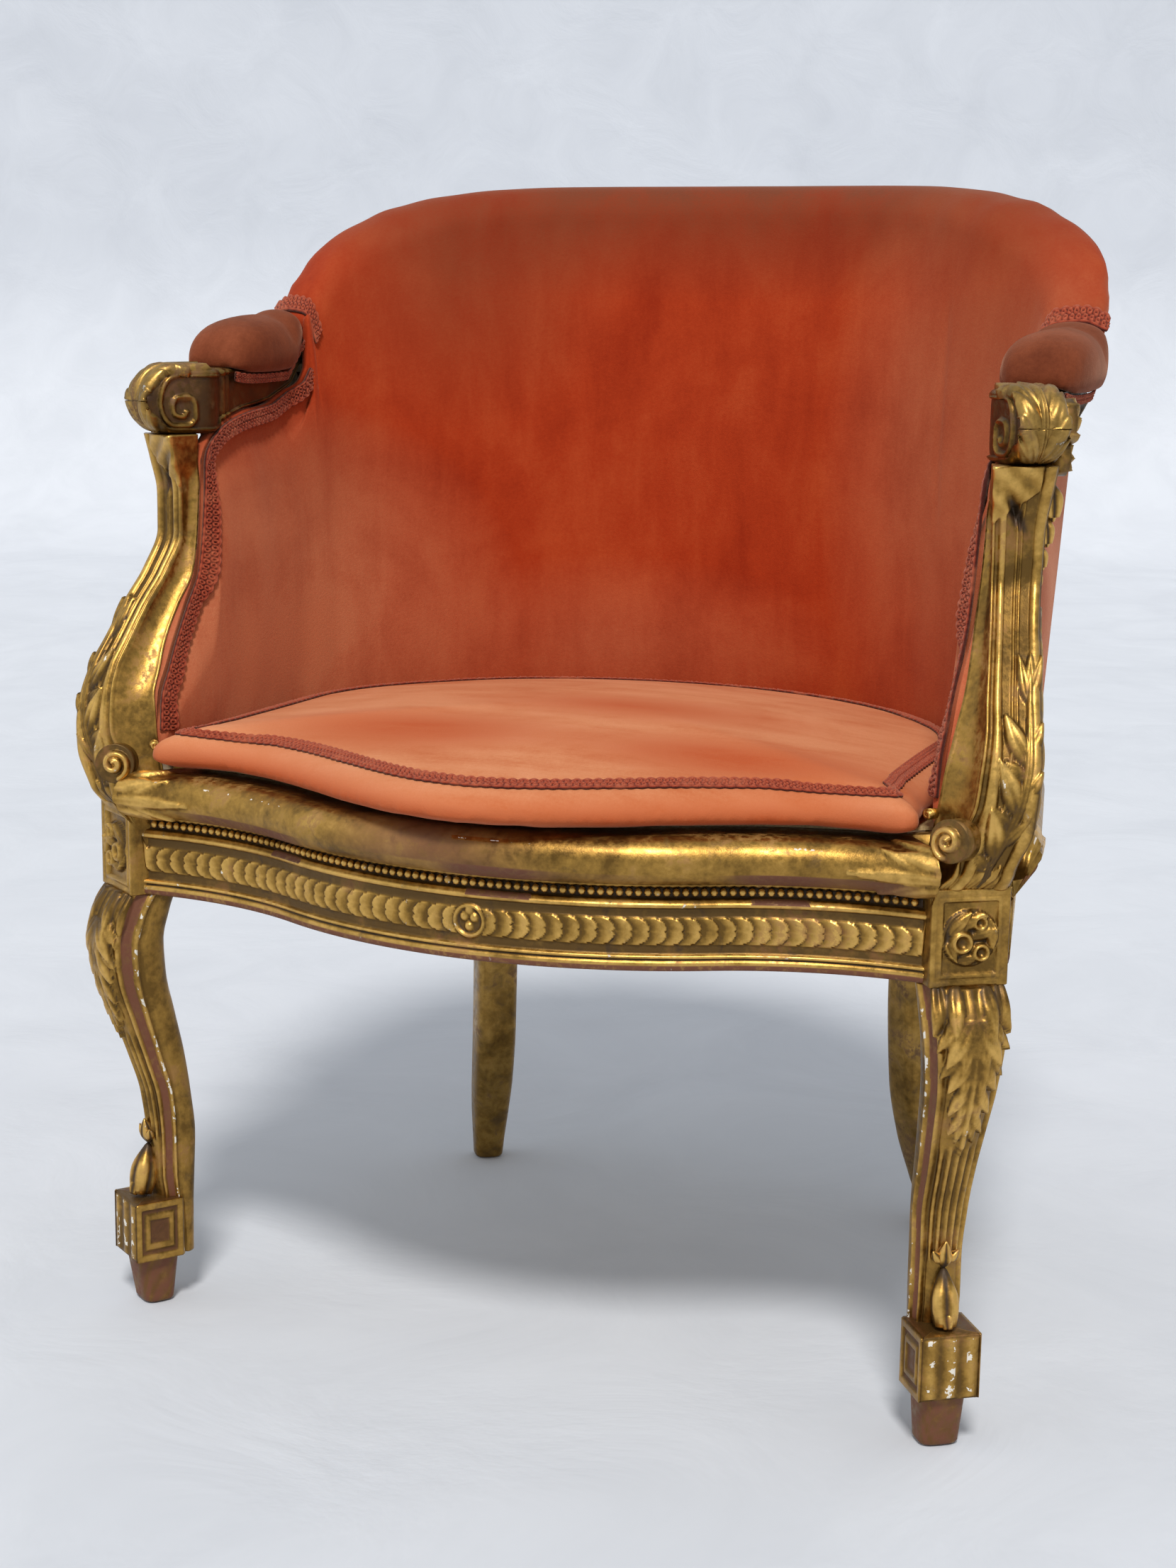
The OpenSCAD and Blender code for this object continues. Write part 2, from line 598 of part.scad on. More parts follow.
// Webbing and hessian stretched across the inside of the frame.
function web_mid(s) = lookup(s, [[60, -24], [190, frame_in - 0.5 - web_t / 2]]);
function web_top(s) = s < wing_s ? arm_under(s) - 6 : crest_top(s) - crest_pad - crest_h - 5.5;
web_stations = concat(arm_ss, wing_ss, back_ss);
module back_webbing() color(hessian)
    skin(round_back(web_stations, [for (s = web_stations)
        let (t = web_top(s), i = web_mid(s) - web_t / 2, o = web_mid(s) + web_t / 2)
        [[i, pad_z], [i, t], [o, t], [o, pad_z]]]));

// Outer line of the upholstery: up the rear of the support, along under the arm, then over the back.
post_hs = [for (i = [3:len(post_table) - 2]) post_table[i][0]];
edge_line = concat([for (h = post_hs) [post_edge(block_top + h)[1] + 0.8, block_top + h]],
    [for (s = arm_ss) [s, arm_under(s) - 1]]);
function edge_top(s) = lookup(s, edge_line);

// Faces of the padding: its back, and its inner face near the seat and where it swells most.
function ease(t) = let (u = min(1, max(0, t))) u * u * (3 - 2 * u);
pad_z = rail_top + cane_t + 2 * clear + 0.2;
function pad_back(s) = web_mid(s) - web_t / 2 - 0.6;
function face_low(s) = mix(-43, -56, ease(s / 190));
function face_mid(s) = mix(-46, -61, ease(s / 190));

// Section of the padding under the arm: a crowned slab with a thin rim for the braid.
function rim_off(s) = lookup(s, [[40, side_rim], [56, arm_off - arm_w / 2 - 5]]);
function slab_back(s) = min(pad_back(s), lookup(s, [[40, -20], [56, arm_off - arm_w / 2 - 0.8]]));
function slab_section(s) = let (t = edge_top(s), b = pad_z, h = t - b, k = slab_back(s), i = rim_off(s),
    swell = min(1, h / 110), f = mix(i - 2, face_mid(s), swell), l = mix(i - 1, face_low(s), swell),
    r = t - min(0.4 * h, gimp_w + 3))
    [[k, b], [k, max(t - 5, mix(b, t, 0.4))], [k, t - 0.6], [mix(k, i, 0.2), t - 0.3], [mix(k, i, 0.4), t - 0.15],
        [mix(k, i, 0.6), t - 0.1], [mix(k, i, 0.8), t - 0.05], [i, t], [i, r], [mix(i, f, 0.6), mix(b, r, 0.85)],
        [f, mix(b, r, 0.6)], [mix(f, l, 0.4), mix(b, r, 0.3)], [l, mix(b, r, 0.1)], [l + 1, b]];

// Section of the padding beside the notch, where it passes inside the arm and reaches the roll's end.
function wing_section(s) = let (t = crest_top(wing_s) + 2, b = pad_z, c = t - 2 - crest_pad + 0.7,
    x = slab_back(s), f = face_mid(s))
    [[x, b], [x, c - crest_h - 3], [x, c - crest_h - 1.7], [x, c], [x, c + 0.3], [x, c + 1], [x, c + 3],
        [x - 1, t - 2], [x - 2, t - 1], [x - 4, t], [x - 7, t - gimp_w - 3], [mix(x - 7, f, 0.6), mix(b, t, 0.72)],
        [f, mix(b, t, 0.4)], [face_low(s), b]];

// Section of the padding at the back: a crowned panel that rolls over the crest rail.
function hem(s) = crest_top(s) - crest_pad + 0.5 - (crest_h - 2) * ease((s - wing_s - 0.7) / 36);
function roll_section(s) = let (t = crest_top(s), c = t - crest_pad + 0.7, b = pad_z, h = hem(s),
    k = pad_back(s), i = crest_off - crest_t - 0.7, o = crest_off + 0.7, f = face_mid(s))
    [[k, b], [k, t - crest_pad - crest_h - 5.5], [i, c - crest_h - 1.7], [i, c], [o, c], [o, h], [-1.5, h],
        [0, mix(h, t, 0.6)], [-4, t - 3.5], [-15, t], [-33, t - 2], [f + 9, t - 22], [f, mix(b, t, 0.42)], [face_low(s), b]];

pad_stations = concat([for (e = edge_line) e[0]], [wing_ss[0], wing_s + 0.1, wing_ss[1]], back_ss);
function pad_section(s) = s < 70 ? slab_section(s) : s < wing_s + 0.5 ? wing_section(s) : roll_section(s);
module back_padding() color(velvet)
    skin(round_back(pad_stations, [for (s = pad_stations) pad_section(s)]));

// Velvet on the outside of the back, from support to support.
rear_line = concat([for (h = [37, 65, 91, 132, 153]) [post_rear(block_top + h) + 1.2, block_top + h]],
    [[-53, block_top + 180]]);
function cover_top(s) = s <= rear_line[5][0] ? lookup(s, rear_line)
    : s < 50 ? arm_under(s) - 1
    : s < wing_s ? arm_under(50) - 1
    : crest_top(s) - crest_pad - crest_h - 0.5;
side_ss = [-26, 0, 15, 28, 40, 56, 68, 78];
cover_stations = concat([for (r = rear_line) r[0]], [-52.4], side_ss, back_ss);
module outside_back_cover() color(velvet)
    skin(round_back(cover_stations, [for (s = cover_stations) let (t = cover_top(s), m = mix(rail_top, t, 0.5))
        [[cover_in, rail_top + 1], [cover_out, rail_top + 1], [cover_out, m], [cover_out, t], [cover_in, t],
            [cover_in, m]]]));

// Braid along the foot of the outside velvet.
foot_stations = concat([rear_line[0][0] + 2, -60], side_ss, back_ss);
module outside_back_gimp() color(braid)
    skin(round_back(foot_stations, [for (s = foot_stations) let (z = rail_top + 0.5, o = cover_out + gimp_gap)
        [[o, z], [o + gimp_t, z], [o + gimp_t, z + gimp_w * 0.8], [o, z + gimp_w * 0.8]]]));

// Braid from the seat up the support and back under the arm, and over the front end of the roll.
function gimp_dir(i) = let (a = edge_line[max(0, i - 1)], b = edge_line[min(len(edge_line) - 1, i + 1)],
    d = b - a) d / norm(d);
function face_at(s, z) = let (p = pad_section(s)) lookup(z, [for (k = [13:-1:7]) [p[k][1], p[k][0]]]);
wing_gimp_s = [wing_s + 1.5, wing_s + 1.5 + gimp_w * 0.7];
function wing_gimp_pt(s, k, lift) = let (p = roll_section(s)[k], c = [-20, crest_top(s) - 26], d = p - c,
    q = p + lift * d / norm(d)) back_pt(s, q[0], q[1]);
// Point of the braid at share k of its width from the edge line, lifted off the padding.
function gimp_pt(i, k, lift) = let (e = edge_line[i], d = gimp_dir(i), q = e + k * gimp_w * [d[1], -d[0]],
    z = max(q[1], pad_z)) back_pt(q[0], min(rim_off(q[0]), face_at(q[0], z)) - lift, z);
gimp_ks = [0, 0.33, 0.67, 1];
function gimp_lift(k) = 0.9 + 2.5 * min(1, 3 * k);
module right_back_gimp() color(braid) {
    skin([for (i = [0:len(edge_line) - 1]) concat([for (k = gimp_ks) gimp_pt(i, k, gimp_lift(k))],
        [for (j = [3:-1:0]) gimp_pt(i, gimp_ks[j], gimp_lift(gimp_ks[j]) + gimp_t)])]);
    skin([for (k = [7:11]) [wing_gimp_pt(wing_gimp_s[0], k, 1.1), wing_gimp_pt(wing_gimp_s[0], k, 1.1 + gimp_t),
        wing_gimp_pt(wing_gimp_s[1], k, 1.1 + gimp_t), wing_gimp_pt(wing_gimp_s[1], k, 1.1)]]);
}
module left_back_gimp() mirror([1, 0, 0]) right_back_gimp();

// Arm pad: a stuffed velvet saddle over the arm rail.
pad_s = 15;
pad_steps = 14;
function pad_shape(k) = let (u = 2 * k / pad_steps - 1) sqrt(max(0, 1 - pow(abs(u), 2.6)));
function pad_at(k) = pad_s + (k / pad_steps - 0.5) * pad_l;
function arm_pad_ring(k) = let (s = pad_at(k), g = pad_shape(k), m = arm_off,
    r = arm_w / 2 + clear, w = max(pad_w * (0.45 + 0.55 * g), r + 2), top = arm_top(s) + 3 * clear,
    low = top - 1 - 3 * g, t = top + 2.5 + (pad_h - 2.5) * g)
    [for (q = [[m - r, top], [m + r, top], [m + r, low], [m + r + (w - r) * 0.6, low - 1 * g],
        [m + w, mix(low, t, 0.3)], [m + w * 0.94, mix(low, t, 0.62)], [m + w * 0.62, mix(low, t, 0.9)], [m, t],
        [m - w * 0.62, mix(low, t, 0.9)], [m - w * 0.94, mix(low, t, 0.62)], [m - w, mix(low, t, 0.3)],
        [m - r - (w - r) * 0.6, low - 1 * g], [m - r, low]]) back_pt(s, q[0], q[1])];
module right_arm_pad() color(velvet) skin([for (k = [0:pad_steps]) arm_pad_ring(k)]);
module left_arm_pad() mirror([1, 0, 0]) right_arm_pad();

// Braid round the foot of each arm pad, on both sides of the rail.
function pad_gimp_ring(k, side) = let (s = pad_at(k), g = pad_shape(k),
    r = arm_w / 2 + clear, top = arm_top(s) + clear, low = top - 1 - 4 * g - gimp_gap, h = gimp_w * 0.4)
    [for (q = side > 0 ? [[r, low - h], [r + gimp_t + 2 * g, low - h], [r + gimp_t + 2 * g, low], [r, low]]
        : [[-r, low - h], [-r, low], [-r - gimp_t - 2 * g, low], [-r - gimp_t - 2 * g, low - h]])
        back_pt(s, arm_off + q[0], q[1])];
module right_arm_pad_gimp() color(braid) {
    skin([for (k = [1:pad_steps - 1]) pad_gimp_ring(k, 1)]);
    skin([for (k = [1:pad_steps - 1]) pad_gimp_ring(k, -1)]);
}
module left_arm_pad_gimp() mirror([1, 0, 0]) right_arm_pad_gimp();

// Woven cane panel, which laps over the inner edge of the seat frame.
cane_lap = 8;
cane_off = cane_lap - rail_t;
cane_side = concat([rail_pt(-far, cane_off)], [for (k = [0:5:45]) rail_pt(k, cane_off)],
    [for (a = [corner_a + 3:5:90]) [(rear_r + cane_off) * cos(a), rear_y + (rear_r + cane_off) * sin(a)]]);
cane_front = [for (k = [0:bow_steps + flank_steps]) front_pt(k, cane_off)];
module mirrored_outline(half) {
    polygon(concat(half, [for (i = [len(half) - 1:-1:0]) [-half[i][0], half[i][1]]]));
}
module cane_seat() color(straw) translate([0, 0, rail_top + clear]) linear_extrude(cane_t) difference() {
    intersection() {
        mirrored_outline(cane_side);
        mirrored_outline(concat(cane_front, [[far, cane_front[bow_steps + flank_steps][1]], [far, far]]));
    }
    for (m = [0, 1]) mirror([m, 0]) {
        translate([block_x, block_y]) rotate(cant - 90) translate([-block_half - 2, -far / 2]) square([far, far]);
        translate([corner_x, 0]) rotate(corner_a) translate([corner_r - back_leg_d - 1, -back_leg_w / 2 - 1])
            square([60, back_leg_w + 2]);
    }
}

// Corner braces glued and screwed into the frame, and their screws.
brace_z = seat_z + 14;
brace_h = 40;
brace_half = 50;
module front_brace() {
    at_block() translate([-block_half - 22, -22, brace_z]) cube([22 - clear, 25, brace_h]);
}
module rear_brace() {
    leg_box(-back_leg_d - 22, -back_leg_d - clear, 22, brace_z, brace_z + brace_h);
}
module corner_braces() color(beech) for (m = [0, 1]) mirror([m, 0, 0]) {
    difference() {
        front_brace();
        front_screws(0.1);
    }
    difference() {
        rear_brace();
        rear_screws(0.1);
    }
}
module wood_screw(extra) {
    cylinder(r = 2.2 + extra, h = 30);
    translate([0, 0, -1]) cylinder(r = 4.4 + extra, h = 3);
}
module front_screws(extra) {
    for (z = [brace_z + 10, brace_z + brace_h - 8]) at_block()
        translate([-block_half - 21, -10, z]) rotate([0, 90, 0]) wood_screw(extra);
}
module rear_screws(extra) {
    for (z = [brace_z + 10, brace_z + brace_h - 8]) translate([corner_x, 0, 0]) rotate(corner_a)
        translate([corner_r - back_leg_d - 21, 0, z]) rotate([0, 90, 0]) wood_screw(extra);
}
module brace_screws() color("#8a8578") for (m = [0, 1]) mirror([m, 0, 0]) {
    front_screws(0);
    rear_screws(0);
}

// Squab: outline from the front middle round the right side to the rear middle, then its crown.
squab_c = [0, -20];
squab_wave = 90;
squab_flat = block_x - 52;
function squab_edge_y(x) = -(squab_front - squab_wave) - squab_wave * (1 + cos(180 * x / squab_flat)) / 2;
function squab_off(s) = face_mid(s) - 2.5;
squab_half = concat(
    [for (k = [0:9]) let (x = k / 9 * (squab_flat + 2)) [x, squab_edge_y(x)]],
    [for (q = [[-30, -31.9], [-19, -27.4], [-18, -20.4], [-24, -10.4]]) [block_x, block_y] + q],
    [[tub_r + squab_off(-10) + 1.5, block_y + 3.6]],
    [for (s = [-130, -95, -60, -25, 10, 50, 90, 130, 170, 210, 250, 295, 340, 385, 420, half_len])
        tub_pt(s, squab_off(s))]
);
squab_loop = concat(squab_half, [for (i = [len(squab_half) - 2:-1:1]) [-squab_half[i][0], squab_half[i][1]]]);
// Rows of the squab from underneath to its crown: inset from the edge, share of what is left, share of height.
squab_rows = [[9, 0.4, 0], [9, 1, 0], [1.5, 1, 0.08], [0, 1, 0.32], [5, 1, 0.68], [14, 1, 1], [31, 1, 1.25],
    [31, 0.82, 1.6], [31, 0.64, 1.85], [31, 0.46, 2.05], [31, 0.28, 2.18], [31, 0.1, 2.24]];
function squab_rise(h) = min(h, 1) * squab_edge + max(0, h - 1) * squab_crown / 1.24;
function inward(p, inset, share) = let (d = norm(p - squab_c)) squab_c + share * (1 - inset / d) * (p - squab_c);
function squab_ring(r) = [for (p = squab_loop) let (q = inward(p, r[0], r[1]))
    [q[0], q[1], squab_z + squab_rise(r[2])]];
module squab() color(velvet_pale) skin([for (r = squab_rows) squab_ring(r)]);

// Braid along the squab's top edge, all the way round.
function braid_ring(p) = let (o = inward(p, 16, 1), i = inward(p, 16 + gimp_w, 1),
    zo = squab_z + squab_rise(1.03) + gimp_gap, zi = squab_z + squab_rise(1 + 0.25 * (2 + gimp_w) / 17) + gimp_gap)
    [[o[0], o[1], zo], [o[0], o[1], zo + gimp_t], [i[0], i[1], zi + gimp_t], [i[0], i[1], zi]];
module squab_gimp() color(braid) skin([for (p = squab_loop) braid_ring(p)], closed = true);

module placed() translate([0, tub_y, 0]) children();

placed() front_rail();
placed() back_rail();
placed() left_side_rail();
placed() right_side_rail();
placed() left_front_leg();
placed() right_front_leg();
placed() left_back_leg();
placed() right_back_leg();
placed() left_arm_support();
placed() right_arm_support();
placed() left_arm();
placed() right_arm();
placed() left_husk_drop();
placed() right_husk_drop();
placed() crest_rail();
placed() lower_back_rail();
placed() back_webbing();
placed() back_padding();
placed() outside_back_cover();
placed() outside_back_gimp();
placed() left_back_gimp();
placed() right_back_gimp();
placed() left_arm_pad();
placed() right_arm_pad();
placed() left_arm_pad_gimp();
placed() right_arm_pad_gimp();
placed() cane_seat();
placed() corner_braces();
placed() brace_screws();
placed() joint_pegs();
placed() squab();
placed() squab_gimp();
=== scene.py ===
"""Low tub armchair: carved gilt frame, padded velvet back, padded arms and a loose squab.

Every surface is worked out in millimetres in the plan frame of the tub, whose Z axis rises through the
centre of the rounded back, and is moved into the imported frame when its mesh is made.
"""

import json
import logging
import math
from dataclasses import dataclass, field
from enum import Enum
from typing import Callable, Sequence

import bpy
import numpy as np
from mathutils import Matrix, Vector
from mathutils.bvhtree import BVHTree

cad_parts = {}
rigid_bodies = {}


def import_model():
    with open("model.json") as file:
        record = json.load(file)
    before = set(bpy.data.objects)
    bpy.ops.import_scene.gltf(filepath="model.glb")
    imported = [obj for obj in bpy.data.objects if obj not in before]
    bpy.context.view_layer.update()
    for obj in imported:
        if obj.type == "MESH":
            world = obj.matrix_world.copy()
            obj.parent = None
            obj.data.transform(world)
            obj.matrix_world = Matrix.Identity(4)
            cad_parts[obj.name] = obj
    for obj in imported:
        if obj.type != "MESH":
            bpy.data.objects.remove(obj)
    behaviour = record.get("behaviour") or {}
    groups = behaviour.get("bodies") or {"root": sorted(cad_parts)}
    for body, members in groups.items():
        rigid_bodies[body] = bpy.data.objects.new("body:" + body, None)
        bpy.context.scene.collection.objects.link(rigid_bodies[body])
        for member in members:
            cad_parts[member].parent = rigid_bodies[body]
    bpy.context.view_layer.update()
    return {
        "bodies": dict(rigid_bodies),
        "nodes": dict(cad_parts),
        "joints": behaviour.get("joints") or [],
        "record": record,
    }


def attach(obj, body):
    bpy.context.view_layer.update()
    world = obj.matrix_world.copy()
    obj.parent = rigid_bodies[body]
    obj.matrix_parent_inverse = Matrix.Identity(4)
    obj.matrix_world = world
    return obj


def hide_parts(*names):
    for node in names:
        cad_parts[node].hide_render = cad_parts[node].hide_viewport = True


Array = np.ndarray
Formula = Callable[[Array, Array], Array]
Socket = bpy.types.NodeSocket
Value = Socket | float | tuple
Material = bpy.types.Material
LOG = logging.getLogger("armchair")
MM = 0.001
TUB_Y = -9.663
CHAIR = "chair"
SQUAB = "squab"
MIRROR = np.array([-1.0, 1.0, 1.0])
MIDDLE = np.array([0.0, -20.0, 0.0])
SETTLE_FRAMES = 20
SENSOR_MM = 36.0
STRIP_POINTS = 17


class Slot(Enum):
    """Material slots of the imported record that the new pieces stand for."""

    GILT = "gilt_wood"
    VELVET = "velvet"
    SQUAB_VELVET = "squab_velvet"
    BRAID = "braid"


class Side(Enum):
    """The two sides of the chair as seen from the front, with the sign of X."""

    LEFT = -1
    RIGHT = 1

    @property
    def label(self) -> str:
        """Word used in the names of pieces."""
        return self.name.lower()


def ease(t: Array) -> Array:
    """Smooth step: 3t^2 - 2t^3 between 0 and 1, flat outside."""
    u = np.clip(t, 0.0, 1.0)
    return u * u * (3.0 - 2.0 * u)


def mix(a: Array, b: Array, t: Array) -> Array:
    """Straight blend: a at t = 0 and b at t = 1."""
    return a + (b - a) * t


def bell(x: Array, width: float) -> Array:
    """Bell curve exp(-(x / width)^2)."""
    return np.exp(-np.square(x / width))


def dome(x: Array, half: float) -> Array:
    """Half round: sqrt(1 - (x / half)^2) inside the half width, 0 outside."""
    return np.sqrt(np.clip(1.0 - np.square(x / half), 0.0, 1.0))


def unit(v: Array) -> Array:
    """Vectors along the last axis, brought to length 1."""
    return v / np.maximum(np.linalg.norm(v, axis=-1, keepdims=True), 1e-9)


def around(count: int) -> Array:
    """Evenly spaced angles of one full turn."""
    return np.linspace(0, 2 * np.pi, count, endpoint=False)


def powered(x: Array, power: Array) -> Array:
    """Signed power sign(x) |x|^power, which squares a circle off as the power falls."""
    return np.sign(x) * np.abs(x) ** power


def spread(*values: Array) -> Sequence[Array]:
    """Values as floats, brought to one shape."""
    return np.broadcast_arrays(*(np.asarray(value, float) for value in values))


def joined(*values: Array) -> Array:
    """Values brought to one shape and stacked as coordinates along a last axis."""
    return np.stack(spread(*values), -1)


def both_sides(line: Array) -> Array:
    """Rows for the right followed by their mirror images, with the last row used once."""
    return np.concatenate([line, line[-2::-1] * MIRROR])


def arc_of(points: Array) -> Array:
    """Distance along a line of points from its first point."""
    return np.concatenate([[0.0], np.cumsum(np.linalg.norm(np.diff(points, axis=0), axis=1))])


def even_curve(knots: Array, values: Array, fine: Array) -> Array:
    """Monotone cubic through rows of values, which never overshoots between them.

    Slopes are harmonic means of the neighbouring chords, and 0 where these change sign.

    Args:
        knots: positions of the rows.
        values: the rows.
        fine: positions wanted.

    Returns:
        A row for each of them.
    """
    flat = values.reshape(len(knots), -1)
    gaps = np.diff(knots)[:, None]
    chords = np.diff(flat, axis=0) / gaps
    slopes = np.zeros_like(flat)
    a, b = chords[:-1], chords[1:]
    same = a * b > 0
    slopes[1:-1] = np.where(same, 2 * a * b / np.where(same, a + b, 1.0), 0.0)
    slopes[0], slopes[-1] = chords[0], chords[-1]
    k = np.clip(np.searchsorted(knots, fine, side="right") - 1, 0, len(knots) - 2)
    h = gaps[k]
    t = ((fine - knots[k])[:, None] / h).clip(0.0, 1.0)
    rows = (
        (1 + 2 * t) * (1 - t) ** 2 * flat[k]
        + t * (1 - t) ** 2 * h * slopes[k]
        + t * t * (3 - 2 * t) * flat[k + 1]
        + t * t * (t - 1) * h * slopes[k + 1]
    )
    return rows.reshape((len(fine),) + values.shape[1:])


def even_ring(ring: Array, count: int) -> Array:
    """Closed monotone cubic through the points of a ring, evenly spaced along its chords.

    Args:
        ring: its points.
        count: number wanted.

    Returns:
        The finer ring.
    """
    padded = np.vstack([ring[-2:], ring, ring[:3]])
    steps = np.maximum(np.linalg.norm(np.diff(padded, axis=0), axis=1), 1e-3)
    knots = np.concatenate([[0.0], np.cumsum(steps)])
    start, end = knots[2], knots[2 + len(ring)]
    return even_curve(knots, padded, np.linspace(start, end, count, endpoint=False))


def resampled(points: Array, step: float, closed: bool = False) -> Array:
    """Points along a polyline at even steps of its arc length.

    Args:
        points: rows of points, or of grids of them.
        step: wanted distance between rows.
        closed: whether the last row joins the first.

    Returns:
        The new rows.
    """
    rows = np.concatenate([points, points[:1]]) if closed else points
    grid = rows.reshape(len(rows), -1, 3)
    knots = arc_of(grid[:, grid.shape[1] // 2])
    count = max(3, int(round(knots[-1] / step)))
    made = even_curve(knots, rows, np.linspace(0.0, knots[-1], count + 1))
    return made[:-1] if closed else made


@dataclass
class Shell:
    """A closed surface: points in millimetres, faces, carving height from 0 (hollow) to 1 (ridge), and wear.

    Wear is 1 where the gilding is rubbed down to the bole, and -1 where it chips to the white ground; on the
    lower face of the seat rails' moulding the same bole stands for painted shade.
    """

    points: Array
    quads: Array
    tris: Array
    relief: Array
    wear_and_shade: Array

    def on(self, side: Side) -> "Shell":
        """The shell, which is made for the right, on the side asked for, with its faces outwards."""
        if side is Side.RIGHT:
            return self
        return Shell(self.points * MIRROR, self.quads[:, ::-1], self.tris[:, ::-1], self.relief, self.wear_and_shade)


def loft(rings: Array, relief: Array | None = None, closed: bool = False,
         wear_and_shade: Array | None = None) -> Shell:
    """Closed surface through rings of points.

    Args:
        rings: grid of points, one row a closed ring.
        relief: carving height of each point.
        closed: whether the last ring joins the first; else both ends get a fan of triangles.
        wear_and_shade: wear of each point.

    Returns:
        The shell, with its faces outwards.
    """
    m, n = rings.shape[:2]
    i, k = np.arange(m if closed else m - 1)[:, None], np.arange(n)
    near, far, after = i * n, (i + 1) % m * n, (k + 1) % n
    quads = np.stack([near + k, near + after, far + after, far + k], -1).reshape(-1, 4)
    points = rings.reshape(-1, 3)
    heights = np.full(m * n, 0.5) if relief is None else relief.reshape(-1)
    worn = np.zeros(m * n) if wear_and_shade is None else wear_and_shade.reshape(-1)
    tris = np.zeros((0, 3), int)
    if not closed:
        points = np.vstack([points, rings[0].mean(0), rings[-1].mean(0)])
        heights = np.append(heights, [heights[:n].mean(), heights[-n:].mean()])
        worn = np.append(worn, [0.0, 0.0])
        last, centre = (m - 1) * n, np.full(n, m * n)
        tris = np.vstack([np.stack([after, k, centre], -1),
                          np.stack([last + k, last + after, centre + 1], -1)])
    p = points[np.vstack([quads[:, :3], quads[:, [0, 2, 3]], tris])]
    if np.einsum("ij,ij->", p[:, 0], np.cross(p[:, 1], p[:, 2])) < 0:
        quads, tris = quads[:, ::-1], tris[:, ::-1]
    return Shell(points, quads, tris, heights, worn)


def carve(rings: Array, height: Array) -> Array:
    """Rings with each point moved out along the surface's normal by its height in millimetres.

    The normal is the cross product of the grid's two directions, turned outwards ring by ring.

    Args:
        rings: grid of points, each row a closed ring.
        height: height of each point.

    Returns:
        The carved rings.
    """
    ringwise = np.roll(rings, -1, 1) - np.roll(rings, 1, 1)
    normals = unit(np.cross(ringwise, np.gradient(rings, axis=0)))
    turn = np.sign(np.einsum("ijk,ijk->i", normals, rings - rings.mean(1, keepdims=True)))
    return rings + normals * np.where(turn == 0, 1.0, turn)[:, None, None] * height[..., None]


def as_relief(height: Array, low: float, high: float) -> Array:
    """Carving height in millimetres as a share from 0 at low to 1 at high."""
    return np.clip((height - low) / (high - low), 0.0, 1.0)


@dataclass(frozen=True)
class Petal:
    """One carved lobe on a flat field: where it starts, which way it points and its sizes."""

    x: float
    y: float
    angle: float
    length: float
    width: float
    height: float


def petals(x: Array, y: Array, lobes: Sequence[Petal]) -> Array:
    """Height of overlapping carved lobes.

    Each lobe is widest past its middle, rounded across, hollowed by a vein along its centre and lifted
    towards its tip. Where lobes overlap, the higher one shows.

    Args:
        x: distance across the field.
        y: distance along it.
        lobes: the lobes, at angles from Y towards X in degrees.

    Returns:
        Height, 0 where there is no lobe.
    """
    best = np.zeros(np.broadcast(x, y).shape)
    for lobe in lobes:
        turn = math.radians(lobe.angle)
        dx, dy = x - lobe.x, y - lobe.y
        along = (dx * math.sin(turn) + dy * math.cos(turn)) / lobe.length
        across = dx * math.cos(turn) - dy * math.sin(turn)
        inside = (along > 0) & (along < 1)
        share = np.clip(along, 1e-3, 1 - 1e-3)
        half = lobe.width / 2 * np.power(np.sin(np.pi * np.power(share, 0.75)), 0.7) + 1e-6
        body = dome(across, half) * (0.5 + 0.5 * ease(share * 1.6))
        vein = 1.0 - 0.4 * bell(across / half, 0.2) * (1 - share)
        best = np.maximum(best, np.where(inside, lobe.height * body * vein, 0.0))
    return best


def acanthus(length: float, width: float, pairs: int, height: float, x: float, y: float) -> list[Petal]:
    """Lobes of an acanthus leaf: pairs that fan out from a rib, and a tip.

    Args:
        length: length of the rib.
        width: greatest width.
        pairs: lobes on each side.
        height: height of the lobes.
        x: start across the field.
        y: start along it.

    Returns:
        The lobes.
    """
    made = []
    for k in range(pairs):
        share = k / pairs
        angle = 52 - 22 * share
        reach = width * 0.5 * (1.0 - 0.45 * share) / math.sin(math.radians(angle))
        for way in (-1, 1):
            for inner, scale in ((0.0, 1.0), (11.0, 0.78)):
                made.append(Petal(x, y + length * 0.72 * share, way * (angle - inner), scale * reach,
                                  width * 0.24 * scale, height * (1.0 - 0.12 * share) * scale))
    made.append(Petal(x, y, 0, length, width * 0.16, height * 1.15))
    made.append(Petal(x, y + 0.55 * length, 0, 0.45 * length, width * 0.3, height))
    return made


def stroke(x: Array, y: Array, line: Array, half: float) -> Array:
    """Rounded ridge along a drawn line: the half round of the distance to it.

    Args:
        x: distance across the field.
        y: distance along it.
        line: points of the line.
        half: half the width.

    Returns:
        Height from 0 to 1.
    """
    best = np.full(np.broadcast(x, y).shape, 1e9)
    for (ax, ay), (bx, by) in zip(line[:-1], line[1:]):
        ux, uy = bx - ax, by - ay
        t = np.clip(((x - ax) * ux + (y - ay) * uy) / max(ux * ux + uy * uy, 1e-9), 0.0, 1.0)
        best = np.minimum(best, np.square(x - ax - t * ux) + np.square(y - ay - t * uy))
    return dome(np.sqrt(best), half)


